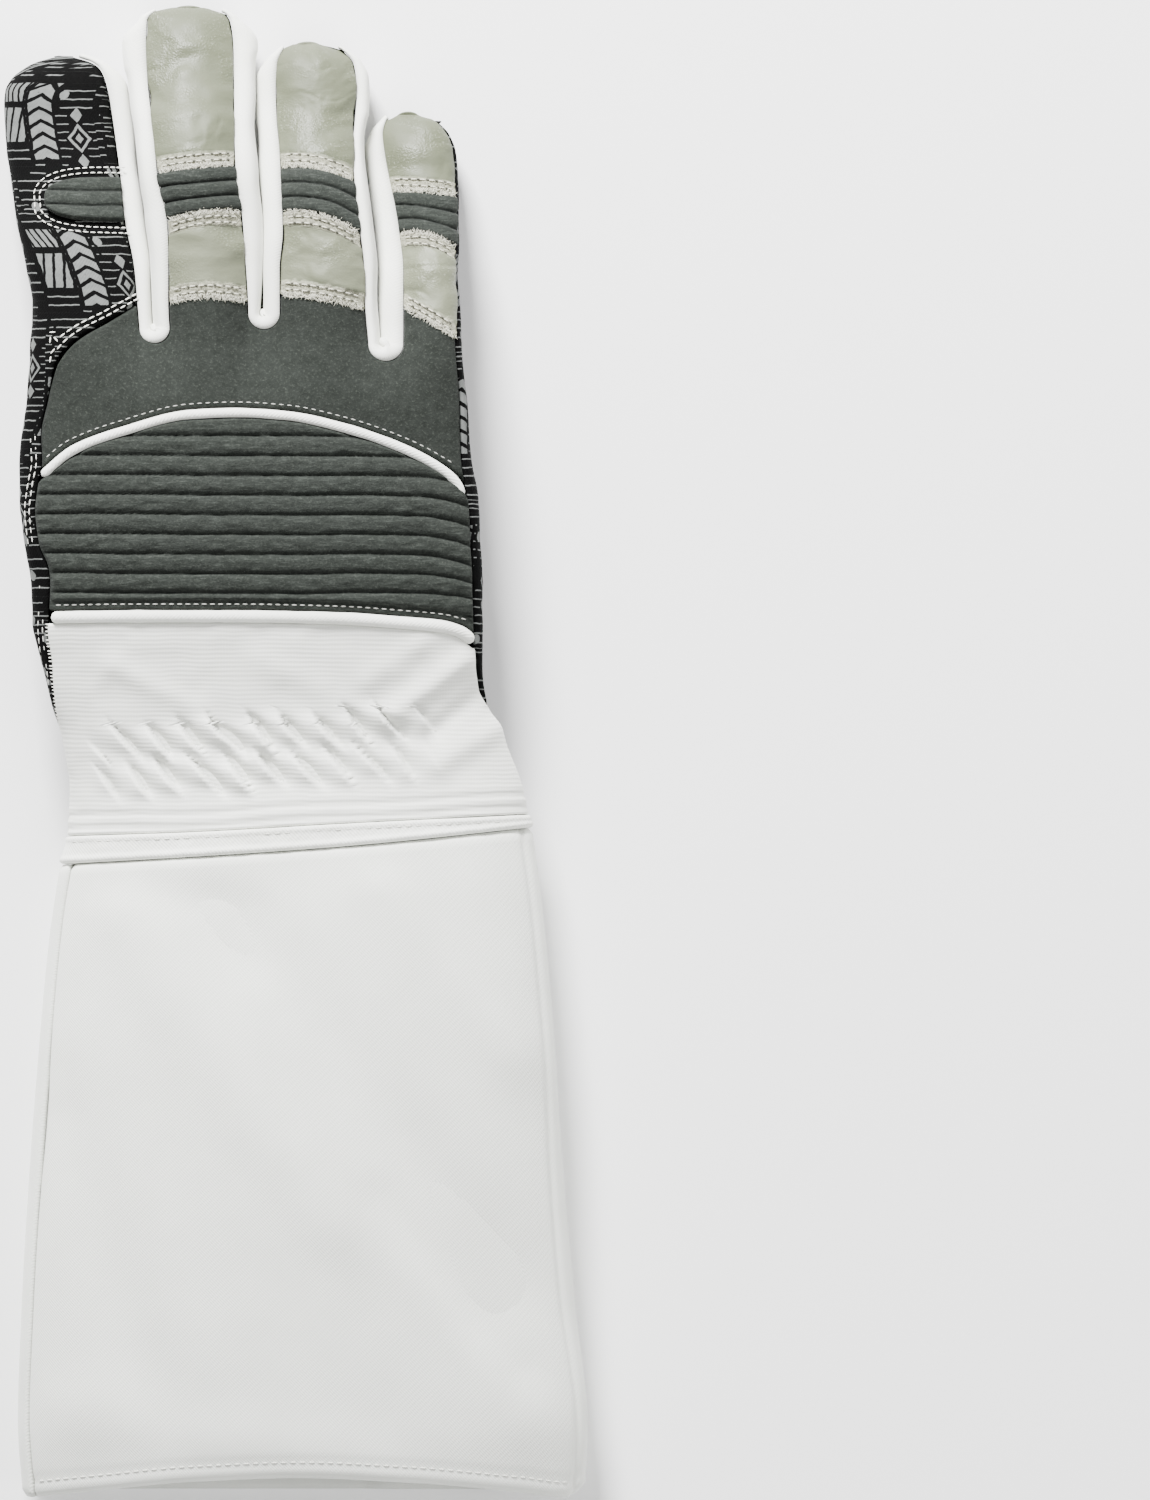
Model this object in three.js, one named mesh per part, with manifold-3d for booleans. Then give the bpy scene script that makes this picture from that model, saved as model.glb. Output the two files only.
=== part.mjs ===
// Fencing glove for the right hand, lying back up on a table.
// X points to the little finger side, Y to the fingertips, Z up. Millimetres.
import * as THREE from "three";
import Module from "manifold-3d";

const wasm = await Module();
wasm.setup();

// Overall sizes
const LENGTH = 385;
const HEIGHT = 40;
const PER_LENGTH = LENGTH / 1000;
const PER_HEIGHT = HEIGHT / 1000;

// Cloth and leather thicknesses
const CLOTH = 1.1;
const LEATHER = 1.3;
const NEOPRENE = 2.4;
const CUFF_WALL = 1.9;
const RIB_BASE = 1.8;
const RIB_RISE = 1.5;
const STRIP_WALL = 1.0;
const SEAM_GAP = 0.35;
const FLOOR_BLEND = 1.6;

// Fingers
const FINGER_HALF = [9.0, 9.4, 9.1, 8.4];
const TIP_LENGTH = 13;
const TIP_HALF = 1.7;
const SEAM_SHARE = 0.55;
const UNDER_SEAM_SHARE = 0.6;
const FINGER_FULLNESS = 2.3;
const WALL_BULGE = 4.5;
const WALL_RISE = 12;
const BLEND_FROM = 727;
const BLEND_TO = 788;
const ROOT = 773.8;

// Pipings and cuff closure
const PIPING_RADIUS = 1.25;
const BINDING_RADIUS = 1.4;
const FLAP_REACH = 50;
const LOOP_REACH = 120;
const HOOK_FROM = 12;
const CLOSURE_MARGIN = 3.5;

// Lengths in thousandths of LENGTH, heights in thousandths of HEIGHT.
// Columns: y, left edge x, right edge x, underside, back, fullness
const OUTLINE = [
  [0, -182.7, 193.4, -200, 750, 2.2],
  [50.9, -186.1, 195.4, -200, 837.5, 2.2],
  [131.2, -183.4, 187.4, -200, 887.5, 2.2],
  [211.5, -178.7, 180.1, -200, 912.5, 2.2],
  [291.8, -172.7, 174, -200, 900, 2.2],
  [372.2, -165.3, 167.3, -175, 850, 2.2],
  [425.7, -157.3, 161.3, -100, 787.5, 2.3],
  [452.5, -151.9, 158, -25, 762.5, 2.3],
  [479.3, -151.3, 151.3, 100, 750, 2.4],
  [506, -155.3, 140.6, 225, 762.5, 2.4],
  [532.8, -162.7, 128.5, 337.5, 800, 2.5],
  [559.6, -169.3, 125.2, 410, 862.5, 2.6],
  [586.3, -175.4, 125.8, 425, 920, 2.7],
  [613.1, -176, 125.8, 425, 955, 2.7],
  [639.9, -180.7, 123.8, 425, 980, 2.7],
  [666.7, -184.1, 123.2, 425, 995, 2.7],
  [693.4, -184.1, 118.5, 425, 1000, 2.7],
  [733.6, -178.7, 115.1, 425, 1000, 2.7],
  [773.8, -176.7, 111.8, 435, 985, 2.7],
  [800.5, -175.4, 111.1, 445, 960, 2.7],
];
// Columns: y, left edge x, right edge x
const INDEX = [
  [773.8, -176.7, -103.1],
  [796.5, -175.4, -105.1],
  [824.6, -179.4, -107.8],
  [858.1, -187.4, -114.5],
  [878.2, -190.1, -116.5],
  [902.3, -193.4, -119.8],
  [934.4, -195.4, -124.5],
  [942.4, -194.8, -125.8],
  [950.5, -190.8, -127.8],
  [958.5, -181.4, -131.9],
  [962.5, -173.4, -137.2],
  [966.5, -159.3, -149.3],
];
const MIDDLE = [
  [773.8, -82.3, -30.8],
  [801.2, -83.7, -31.5],
  [832, -83.7, -33.5],
  [858.1, -85, -35.5],
  [883.5, -91, -39.5],
  [911.6, -93.7, -40.8],
  [949.8, -98.4, -41.5],
  [975.9, -99.7, -42.2],
  [990, -99.1, -44.2],
  [994.6, -95.7, -47.5],
  [998.7, -87, -56.9],
];
const RING = [
  [773.8, -9.4, 48.9],
  [796.5, -9.4, 46.9],
  [822, -9.4, 46.2],
  [847.4, -7.4, 43.5],
  [880.9, -8.7, 39.5],
  [904.3, -10, 38.2],
  [924.4, -12, 39.5],
  [944.4, -12.7, 40.8],
  [960.5, -12, 38.8],
  [970.5, -8, 30.8],
  [974.6, -4.7, 20.7],
];
const LITTLE = [
  [773.8, 73, 111.8],
  [799.2, 73, 111.1],
  [822, 73, 109.1],
  [847.4, 70.3, 109.8],
  [864.8, 67.6, 109.8],
  [883.5, 63.6, 109.1],
  [902.3, 60.2, 107.1],
  [914.3, 58.9, 102.4],
  [922.4, 60.9, 95],
  [927.7, 64.9, 87.7],
];
// Columns: y, height of the finger's middle
const INDEX_DROOP = [
  [760.4, 710],
  [820.6, 612.5],
  [867.5, 450],
  [907.6, 300],
  [941.1, 235],
  [966.5, 220],
];
const MIDDLE_DROOP = [
  [760.4, 710],
  [827.3, 690],
  [877.5, 655],
  [921, 500],
  [961.2, 287.5],
  [981.3, 230],
  [998.7, 220],
];
const RING_DROOP = [
  [760.4, 710],
  [827.3, 675],
  [867.5, 600],
  [907.6, 412.5],
  [941.1, 262.5],
  [961.2, 227.5],
  [974.6, 217.5],
];
const LITTLE_DROOP = [
  [753.7, 700],
  [800.5, 612.5],
  [840.7, 462.5],
  [874.2, 312.5],
  [900.9, 225],
  [927.7, 207.5],
];
// Lowest y of the three finger gaps
const CROTCHES = [
  [772.4],
  [781.8],
  [760.4],
];
// Columns: y, distance of the side seam from the outline, more than zero on the back
const LEFT_SEAM = [
  [425.7, -2.7],
  [506, -2],
  [532.8, 2],
  [559.6, 6],
  [593, 10.7],
  [621.8, 12],
  [640.6, 8.7],
  [658.6, 9.4],
  [678.7, 12],
  [694.1, 14.7],
  [718.2, 11.4],
  [737.6, 13.4],
  [743, 14.1],
  [760.4, 17.4],
  [775.8, 30.8],
  [788.5, 52.9],
  [799.2, 70.3],
];
const RIGHT_SEAM = [
  [425.7, -8],
  [506, -6],
  [532.8, 0],
  [559.6, 4],
  [589, 5.4],
  [612.4, 6],
  [639.2, 5.4],
  [675.4, 6],
  [710.8, 4.7],
  [747, 2.7],
  [773.8, 2.7],
  [799.2, 1.3],
  [867.5, 1.3],
];
// Columns: x, y
const PIPING = [
  [-172, 681.4],
  [-145.9, 702.1],
  [-113.1, 714.2],
  [-69.6, 724.9],
  [-38.8, 726.2],
  [-5.4, 724.2],
  [32.8, 716.2],
  [71.6, 702.8],
  [97.1, 689.4],
  [107.8, 680.1],
  [113.8, 668.7],
];
const KNUCKLE_TOP = [
  [-164, 743],
  [-159.3, 760.4],
  [-145.9, 775.8],
  [-123.2, 788.5],
  [-104.4, 799.2],
];
const RIB_BOTTOM = [
  [-164.7, 595],
  [-43.5, 597.1],
  [70.3, 595.7],
  [120.5, 591.7],
];
const BINDING = [
  [-166, 589.7],
  [-103.7, 590.4],
  [-43.5, 590.4],
  [30.1, 589],
  [70.3, 586.3],
  [98.4, 583.7],
  [110.4, 580.3],
  [119.8, 573.6],
];
const BAND_TOP = [
  [-157.3, 443.8],
  [-63.6, 447.1],
  [32.8, 452.5],
  [157.3, 458.5],
];
const BAND_BOTTOM = [
  [-157.3, 425],
  [-63.6, 430.4],
  [32.8, 437.1],
  [164, 449.8],
];
const HEM = [
  [-184.1, 0],
  [-137.2, 5.4],
  [-63.6, 12.7],
  [6, 15.4],
  [77, 12],
  [150.6, 4.7],
  [183.4, 0.7],
  [197.5, 12],
];
// Edges between leather tip, ribbed band, leather band and knuckles. Columns: y at left, middle, right
const MIDDLE_BANDS = [
  [886.9, 890.2, 891.6],
  [854.8, 860.8, 860.8],
  [799.9, 803.2, 800.5],
];
const RING_BANDS = [
  [890.9, 889.6, 880.9],
  [860.8, 858.8, 846.1],
  [805.2, 801.9, 795.2],
];
const LITTLE_BANDS = [
  [875.5, 874.8, 872.2],
  [847.4, 846.7, 837.3],
  [796.5, 786.5, 775.8],
];
// Columns: x of the middle, half width, y and z on the palm side, y and z on the floor side
const THUMB_RINGS = [
  [-32.1, 5.4, 874.2, 240, 874.2, 140],
  [-32.1, 14.1, 871.5, 315, 871.5, 60],
  [-33.5, 22.8, 863.5, 375, 863.5, -15],
  [-38.8, 30.1, 846.1, 390, 846.1, -55],
  [-47.5, 38.2, 820.6, 392.5, 820.6, -65],
  [-60.2, 48.9, 780.5, 392.5, 780.5, -65],
  [-71.6, 58.9, 740.3, 392.5, 740.3, -65],
  [-82.3, 66.3, 706.8, 392.5, 706.8, -65],
  [-88.4, 68.9, 689.4, 392.5, 680.1, -65],
  [-91.7, 69.6, 679.4, 397.5, 634.5, -55],
  [-93, 69.6, 675.4, 410, 591.7, 45],
  [-94.4, 69.6, 674, 430, 566.3, 225],
  [-94.4, 69.6, 673.4, 487.5, 556.9, 430],
];

// Smooth curve through one column of a table, with its first column as the argument
function column(rows, index, scale = PER_LENGTH) {
  const sorted = rows.map((r) => [r[0] * PER_LENGTH, r[index] * scale]).sort((a, b) => a[0] - b[0]);
  const steps = sorted.slice(1).map((r, i) => (r[1] - sorted[i][1]) / (r[0] - sorted[i][0]));
  const slopes = sorted.map((_, i) => {
    if (i === 0) return steps[0];
    if (i === steps.length) return steps[steps.length - 1];
    const [a, b] = [steps[i - 1], steps[i]];
    return a * b <= 0 ? 0 : (2 * a * b) / (a + b);
  });
  return (at) => {
    const last = sorted.length - 1;
    if (at <= sorted[0][0]) return sorted[0][1];
    if (at >= sorted[last][0]) return sorted[last][1];
    let i = 0;
    while (at > sorted[i + 1][0]) i += 1;
    const h = sorted[i + 1][0] - sorted[i][0];
    const t = (at - sorted[i][0]) / h;
    const [p, q] = [sorted[i][1], sorted[i + 1][1]];
    const s = 1 - t;
    const ends = p * s * s * (1 + 2 * t) + q * t * t * (3 - 2 * t);
    return ends + h * t * s * (slopes[i] * s - slopes[i + 1] * t);
  };
}
const clamp = (v, lo, hi) => Math.min(hi, Math.max(lo, v));
const mix = (a, b, t) => a + (b - a) * t;
const ease = (v, lo, hi) => {
  const t = clamp((v - lo) / (hi - lo), 0, 1);
  return t * t * (3 - 2 * t);
};
const floorClamp = (z) => {
  if (z < -FLOOR_BLEND) return 0;
  if (z > FLOOR_BLEND) return z;
  return (z + FLOOR_BLEND) ** 2 / (4 * FLOOR_BLEND);
};

// Outline and finger seams
const rootY = ROOT * PER_LENGTH;
const outlineLeft = column(OUTLINE, 1);
const outlineRight = column(OUTLINE, 2);
const outlineUnder = column(OUTLINE, 3, PER_HEIGHT);
const outlineOver = column(OUTLINE, 4, PER_HEIGHT);
const fullness = column(OUTLINE, 5, 1);
const FINGERS = [
  { table: INDEX, droop: INDEX_DROOP },
  { table: MIDDLE, droop: MIDDLE_DROOP },
  { table: RING, droop: RING_DROOP },
  { table: LITTLE, droop: LITTLE_DROOP },
].map(({ table, droop }, i) => ({
  left: column(table, 1),
  right: column(table, 2),
  middle: column(droop, 1, PER_HEIGHT),
  tip: table[table.length - 1][0] * PER_LENGTH,
  half: FINGER_HALF[i],
}));
const KNOTS = FINGERS.flatMap((f) => [f.left, f.right]);
const rootWidth = KNOTS[7](rootY) - KNOTS[0](rootY);
const SHARES = KNOTS.map((k) => (k(rootY) - KNOTS[0](rootY)) / rootWidth);
function knot(k, y) {
  if (y >= rootY) return KNOTS[k](y);
  return mix(outlineLeft(y), outlineRight(y), SHARES[k]);
}

// Underside and back of the hand, wrist and cuff at one point
function handHeights(x, y) {
  const f = clamp((x - knot(0, y)) / (knot(7, y) - knot(0, y)), 0, 1);
  const [under, over, full] = [outlineUnder(y), outlineOver(y), fullness(y)];
  const rise = ((over - under) / 2) * (1 - Math.abs(2 * f - 1) ** full) ** (1 / full);
  const middle = (over + under) / 2;
  return [middle - rise, middle + rise];
}

// Half thickness of a finger, rounded off over the tip
function fingerHalf(finger, y) {
  const s = clamp((finger.tip - y) / TIP_LENGTH, 0, 1);
  return Math.max(TIP_HALF, finger.half * Math.sqrt(1 - (1 - s) ** 2));
}

// Underside and back of one finger at share f of its width
function fingerHeights(i, f, y) {
  const half = fingerHalf(FINGERS[i], y);
  const middle = FINGERS[i].middle(y);
  const outer = (i === 0 && f < 0.5) || (i === 3 && f > 0.5);
  const crown = 1 - (2 * f - 1) ** 2;
  const side = (1 - Math.abs(2 * f - 1) ** FINGER_FULLNESS) ** (1 / FINGER_FULLNESS);
  const over = outer ? side : mix(SEAM_SHARE, 1, crown);
  const under = outer ? side : mix(UNDER_SEAM_SHARE, 1, crown);
  return [middle - half * under, middle + half * over];
}

// Underside and back anywhere on the glove
function heights(x, y) {
  const blend = ease(y, BLEND_FROM * PER_LENGTH, BLEND_TO * PER_LENGTH);
  const hand = handHeights(x, y);
  let made = hand;
  if (blend > 0) {
    let k = 0;
    while (k < 6 && x > knot(k + 1, y)) k += 1;
    const f = clamp((x - knot(k, y)) / (knot(k + 1, y) - knot(k, y)), 0, 1);
    let finger;
    if (k % 2 === 0) finger = fingerHeights(k / 2, f, y);
    else {
      const a = fingerHeights((k - 1) / 2, 1, y);
      const b = fingerHeights((k + 1) / 2, 0, y);
      finger = [mix(a[0], b[0], f), mix(a[1], b[1], f)];
    }
    made = [mix(hand[0], finger[0], blend), mix(hand[1], finger[1], blend)];
  }
  return [floorClamp(made[0]), made[1]];
}
const over = (x, y) => heights(x, y)[1];
const under = (x, y) => heights(x, y)[0];

// Point at a signed distance from the left or right outline, on the back when it is more than zero
function fromEdge(side, distance, y) {
  const x = side < 0 ? knot(0, y) + Math.abs(distance) : knot(7, y) - Math.abs(distance);
  return [x, y, distance > 0 ? over(x, y) : under(x, y)];
}

// Closed thick sheet over a grid of points, its wall on the inner side
function sheet(nu, nv, at, wall, { exists = () => true, lift = null, shift = null, flip = false } = {}) {
  const points = [];
  for (let i = 0; i <= nu; i += 1) {
    for (let j = 0; j <= nv; j += 1) points.push(new THREE.Vector3(...at(i, j)));
  }
  const id = (i, j) => i * (nv + 1) + j;
  const normals = points.map(() => new THREE.Vector3());
  const used = new Set();
  const faces = [];
  const edges = new Map();
  const addEdge = (a, b) => {
    if (edges.has(b + "_" + a)) edges.delete(b + "_" + a);
    else edges.set(a + "_" + b, [a, b]);
  };
  for (let i = 0; i < nu; i += 1) {
    for (let j = 0; j < nv; j += 1) {
      if (!exists(i, j)) continue;
      const loop = [id(i, j), id(i + 1, j), id(i + 1, j + 1), id(i, j + 1)];
      if (flip) loop.reverse();
      const d1 = points[loop[2]].clone().sub(points[loop[0]]);
      const d2 = points[loop[3]].clone().sub(points[loop[1]]);
      const n = d1.cross(d2);
      loop.forEach((v, e) => {
        normals[v].add(n);
        used.add(v);
        addEdge(v, loop[(e + 1) % 4]);
      });
      faces.push([loop[0], loop[1], loop[2]], [loop[0], loop[2], loop[3]]);
    }
  }
  const place = [];
  const count = points.length;
  points.forEach((p, v) => {
    normals[v].normalize();
    const i = Math.floor(v / (nv + 1));
    const j = v % (nv + 1);
    if (shift) p.addScaledVector(normals[v], shift(i, j));
    place.push(p.clone().addScaledVector(normals[v], lift ? lift(i, j) : 0));
  });
  points.forEach((p, v) => place.push(p.clone().addScaledVector(normals[v], -wall)));
  const tris = [];
  faces.forEach(([a, b, c]) => tris.push([a, b, c], [a + count, c + count, b + count]));
  edges.forEach(([a, b]) => tris.push([b, a, a + count], [b, a + count, b + count]));
  return build(place, tris);
}
function build(place, tris) {
  const data = tris.flatMap((t) => t.flatMap((v) => place[v].toArray()));
  const geometry = new THREE.BufferGeometry();
  geometry.setAttribute("position", new THREE.Float32BufferAttribute(data, 3));
  return geometry;
}

const glove = new THREE.Group();
glove.name = "fencing_glove";
function add(name, geometry, color, roughness = 0.9) {
  geometry.computeVertexNormals();
  const mesh = new THREE.Mesh(geometry, new THREE.MeshStandardMaterial({ color, roughness }));
  mesh.name = name;
  glove.add(mesh);
}
const BLACK = 0x1b1b1a;
const LEATHER_TINT = 0xb6b9aa;
const GREY = 0x5c6260;
const RIB_TINT = 0x4a504d;
const WHITE = 0xe8e9e1;
const CUFF_TINT = 0xe2e4dd;

// Where a gap between fingers ends: a round bottom between the two seams
function crotch(g) {
  const low = CROTCHES[g][0] * PER_LENGTH;
  const guess = low + 4;
  const radius = (knot(2 * g + 2, guess) - knot(2 * g + 1, guess)) / 2;
  const y = low + radius;
  return { x: (knot(2 * g + 1, y) + knot(2 * g + 2, y)) / 2, y, radius };
}
const GAPS = [0, 1, 2].map(crotch);
const gapBottom = (g, x) => {
  const across = clamp((x - GAPS[g].x) / GAPS[g].radius, -1, 1);
  return GAPS[g].y - GAPS[g].radius * Math.sqrt(1 - across * across);
};

// Plan lists the grid columns from one side of the hand to the other: a knot interval and a share of it
function columns(counts) {
  const plan = [];
  counts.forEach((n, k) => {
    for (let i = 0; i < n; i += 1) {
      const t = i / n;
      const share = k % 2 === 1 ? (1 - Math.cos(Math.PI * t)) / 2 : t;
      plan.push({ k, share });
    }
  });
  plan.push({ k: counts.length - 1, share: 1 });
  return plan;
}
// Height of the crotch line at a grid column
function crotchLine(k, share) {
  if (k === 0) return GAPS[0].y;
  if (k === 6) return GAPS[2].y;
  if (k % 2 === 0) return mix(GAPS[k / 2 - 1].y, GAPS[k / 2].y, share);
  const gap = GAPS[(k - 1) / 2];
  const x = gap.x - gap.radius + 2 * gap.radius * share;
  return gapBottom((k - 1) / 2, x);
}

// Cutting and keeping with manifold solids
function solid(geometry) {
  const source = geometry.index ? geometry.toNonIndexed() : geometry;
  const seen = new Map();
  const vertices = [];
  const tris = [];
  const data = source.getAttribute("position").array;
  for (let i = 0; i < data.length; i += 3) {
    const key = [data[i], data[i + 1], data[i + 2]].map((v) => Math.round(v * 1e4)).join(" ");
    if (!seen.has(key)) {
      seen.set(key, vertices.length / 3);
      vertices.push(data[i], data[i + 1], data[i + 2]);
    }
    tris.push(seen.get(key));
  }
  const faces = [];
  for (let i = 0; i < tris.length; i += 3) {
    const [a, b, c] = tris.slice(i, i + 3);
    if (a !== b && b !== c && a !== c) faces.push(a, b, c);
  }
  return new wasm.Manifold(
    new wasm.Mesh({ numProp: 3, vertProperties: new Float32Array(vertices), triVerts: new Uint32Array(faces) }),
  );
}
function fromSolid(made) {
  const mesh = made.getMesh();
  const geometry = new THREE.BufferGeometry();
  const data = new Float32Array(mesh.numVert * 3);
  for (let i = 0; i < mesh.numVert; i += 1) {
    data.set(mesh.vertProperties.subarray(i * mesh.numProp, i * mesh.numProp + 3), i * 3);
  }
  geometry.setAttribute("position", new THREE.BufferAttribute(data, 3));
  geometry.setIndex(new THREE.BufferAttribute(mesh.triVerts, 1));
  return geometry;
}
const cut = (a, b) => fromSolid(solid(a).subtract(solid(b)));
const keep = (a, b) => fromSolid(solid(a).intersect(solid(b)));

// Side seams between the palm cloth and the back
const leftSeamTable = column(LEFT_SEAM, 1);
const rightSeamTable = column(RIGHT_SEAM, 1);
const INDEX_SEAM_FROM = 799.2 * PER_LENGTH;
const KNUCKLE_LEFT_TOP = 743 * PER_LENGTH;
const leftSeam = (y) => (y < INDEX_SEAM_FROM ? leftSeamTable(y) : knot(1, y) - knot(0, y));
const rightSeam = (y) => rightSeamTable(y);
const root2 = (g) => Math.sign(g) * Math.sqrt(Math.abs(g));
const square2 = (h) => Math.sign(h) * h * h;

// Line between the palm cloth and the cuff
const HEM_LEFT = 425;
const HEM_MIDDLE = 435.7;
const HEM_RIGHT = 449.8;
function palmHem(x) {
  const y = HEM_MIDDLE * PER_LENGTH;
  const fromLeft = ease(x - knot(0, y), 0, 20 * PER_LENGTH);
  const fromRight = ease(knot(7, y) - x, 0, 7.4 * PER_LENGTH);
  return mix(HEM_RIGHT, mix(HEM_LEFT, HEM_MIDDLE, fromLeft), fromRight) * PER_LENGTH;
}

// Palm cloth: palm, finger undersides and the little finger's side edge
// Index cloth: the thumb side edge of the hand and the back of the index finger
const SPLIT = 20 * PER_LENGTH;
const SPLIT_SHARE = 0.3;
const HAND_ROWS = 12;
const FINGER_ROWS = [0, 0.088, 0.2, 0.36, 0.53, 0.69, 0.82, 0.905, 0.967, 1];
const HAND_SPREAD = [0, 0.1, 0.2, 0.3, 0.4, 0.5, 0.6, 0.69, 0.77, 0.84, 0.9, 0.95, 1];
const SIDE_GAP = 1.1;
const BINDING_GAP = 1.05;
const INDEX_GAP = 0.9;
const HEM_GAP = 0.5;
const FLAP_HEM_GAP = 2.4;
const KNUCKLE_GAP = 1.3;
const EDGE_COLUMNS = [5, 3];
function splitAt(y, a, b) {
  return Math.min(SPLIT, SPLIT_SHARE * (knot(b, y) - knot(a, y)));
}
const indexPlan = [];
for (let i = 0; i <= EDGE_COLUMNS[0]; i += 1) indexPlan.push({ edge: -1, t: i / EDGE_COLUMNS[0], k: 0 });
const palmPlan = columns([3, 4, 3, 4, 3, 4, 3]);
for (let i = 1; i <= EDGE_COLUMNS[1]; i += 1) palmPlan.push({ edge: 1, t: i / EDGE_COLUMNS[1], k: 6 });
function palmX(c, y) {
  if (c.k === 0) return mix(knot(0, y) + splitAt(y, 0, 1) + INDEX_GAP, knot(1, y), c.share);
  if (c.k === 6) return mix(knot(6, y), knot(7, y) - splitAt(y, 6, 7), c.share);
  return mix(knot(c.k, y), knot(c.k + 1, y), c.share);
}
function edgePoint(c, y) {
  const [from, to] = c.edge < 0 ? [leftSeam(y), -splitAt(y, 0, 1)] : [-splitAt(y, 6, 7), rightSeam(y)];
  return fromEdge(c.edge, square2(mix(root2(from), root2(to), c.t)), y);
}
function palmPoint(c, j) {
  const line = c.edge ? (c.edge < 0 ? GAPS[0].y : GAPS[2].y) : crotchLine(c.k, c.share);
  const tip = FINGERS[Math.floor(c.k / 2)].tip;
  const hem = HEM_MIDDLE * PER_LENGTH;
  const low = palmHem(c.edge ? edgePoint(c, hem)[0] : palmX(c, hem));
  const y = j <= HAND_ROWS ? mix(low, line, HAND_SPREAD[j]) : mix(line, tip, FINGER_ROWS[j - HAND_ROWS]);
  if (c.edge) return edgePoint(c, y);
  const x = palmX(c, y);
  return [x, y, under(x, y)];
}
const inGap = (c, d) => !c.edge && !d.edge && c.k % 2 === 1;
const PALM_ROWS = HAND_ROWS + FINGER_ROWS.length - 1;
const palmSheet = sheet(palmPlan.length - 1, PALM_ROWS, (i, j) => palmPoint(palmPlan[i], j), CLOTH, {
  exists: (i, j) => j < HAND_ROWS || !inGap(palmPlan[i], palmPlan[i + 1]),
  flip: true,
});
const indexSheet = sheet(indexPlan.length - 1, PALM_ROWS, (i, j) => palmPoint(indexPlan[i], j), CLOTH, {
  flip: true,
});

// Thumb: rings from its tip to the opening in the palm
const RING_COUNT = THUMB_RINGS.length;
const THUMB_FULLNESS = 2.5;
const THUMB_END = 0.9;
function thumbRing(t) {
  const i = Math.min(Math.floor(t), RING_COUNT - 2);
  return THUMB_RINGS[i].map((v, c) => mix(v, THUMB_RINGS[i + 1][c], t - i));
}
const power = (v) => Math.sign(v) * Math.abs(v) ** (2 / THUMB_FULLNESS);
function thumbPoint(angle, t) {
  const r = thumbRing(t);
  const side = power(Math.cos(angle));
  const up = (power(Math.sin(angle)) + 1) / 2;
  const x = (r[0] + r[1] * side) * PER_LENGTH;
  const y = mix(r[4], r[2], up) * PER_LENGTH;
  const z = floorClamp(mix(r[5], r[3], up) * PER_HEIGHT);
  return [x, y, mix(z, under(x, y) + THUMB_END, ease(t, RING_COUNT - 2.6, RING_COUNT - 1))];
}
const rad = (deg) => (deg * Math.PI) / 180;
const BACK_FROM = -42;
const BACK_TO = -197;
const THUMB_GAP_DEG = 3;
const THUMB_GAP_ARC = 55;
const LEATHER_LEFT = 4.9;
const LEATHER_RIGHT = 4.2;
const THUMB_ROW_GAP = 0.03;
const leatherEnd = (s) => mix(LEATHER_LEFT, LEATHER_RIGHT, s);
function thumbStrip(from, to, nu, rows, ringAt, wall, flip) {
  return sheet(nu, rows, (i, j) => {
    const s = i / nu;
    const t = ringAt(s, j);
    const gap = to > from ? THUMB_GAP_DEG + THUMB_GAP_ARC / (thumbRing(t)[1] * PER_LENGTH) : 0;
    return thumbPoint(rad(mix(from + gap, to - gap, s)), t);
  }, wall, { flip });
}

// Opening for the thumb
const hole = new THREE.Shape();
const HOLE_STEPS = 40;
const HOLE_MARGIN = 0.8;
const end = Array.from({ length: HOLE_STEPS }, (_, i) => thumbPoint((i / HOLE_STEPS) * 2 * Math.PI, RING_COUNT - 1));
const centre = end.reduce((a, p) => [a[0] + p[0] / HOLE_STEPS, a[1] + p[1] / HOLE_STEPS], [0, 0]);
end.forEach((p, i) => {
  const d = [p[0] - centre[0], p[1] - centre[1]];
  const r = Math.hypot(...d);
  const q = [centre[0] + (d[0] * (r + HOLE_MARGIN)) / r, centre[1] + (d[1] * (r + HOLE_MARGIN)) / r];
  if (i === 0) hole.moveTo(...q);
  else hole.lineTo(...q);
});
hole.closePath();
const HOLE_LOW = 8;
const HOLE_HIGH = 27;
const holePrism = new THREE.ExtrudeGeometry(hole, { depth: HOLE_HIGH - HOLE_LOW, bevelEnabled: false });
holePrism.translate(0, 0, HOLE_LOW);
add("palm_cloth", cut(palmSheet, holePrism), BLACK);
add("index_cloth", cut(indexSheet, holePrism), BLACK);

add("thumb_cloth", thumbStrip(BACK_FROM, 360 + BACK_TO, 10, RING_COUNT - 1,
  (s, j) => j, CLOTH, false), BLACK);
add("thumb_tip_leather", thumbStrip(BACK_FROM, BACK_TO, 8, 5,
  (s, j) => (j < 5 ? j : leatherEnd(s) - THUMB_ROW_GAP), LEATHER, true), LEATHER_TINT);
add("thumb_back", thumbStrip(BACK_FROM, BACK_TO, 8, RING_COUNT - 5,
  (s, j) => (j > 0 ? j + 4 : leatherEnd(s)), CLOTH * 1.5, true), GREY);

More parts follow.
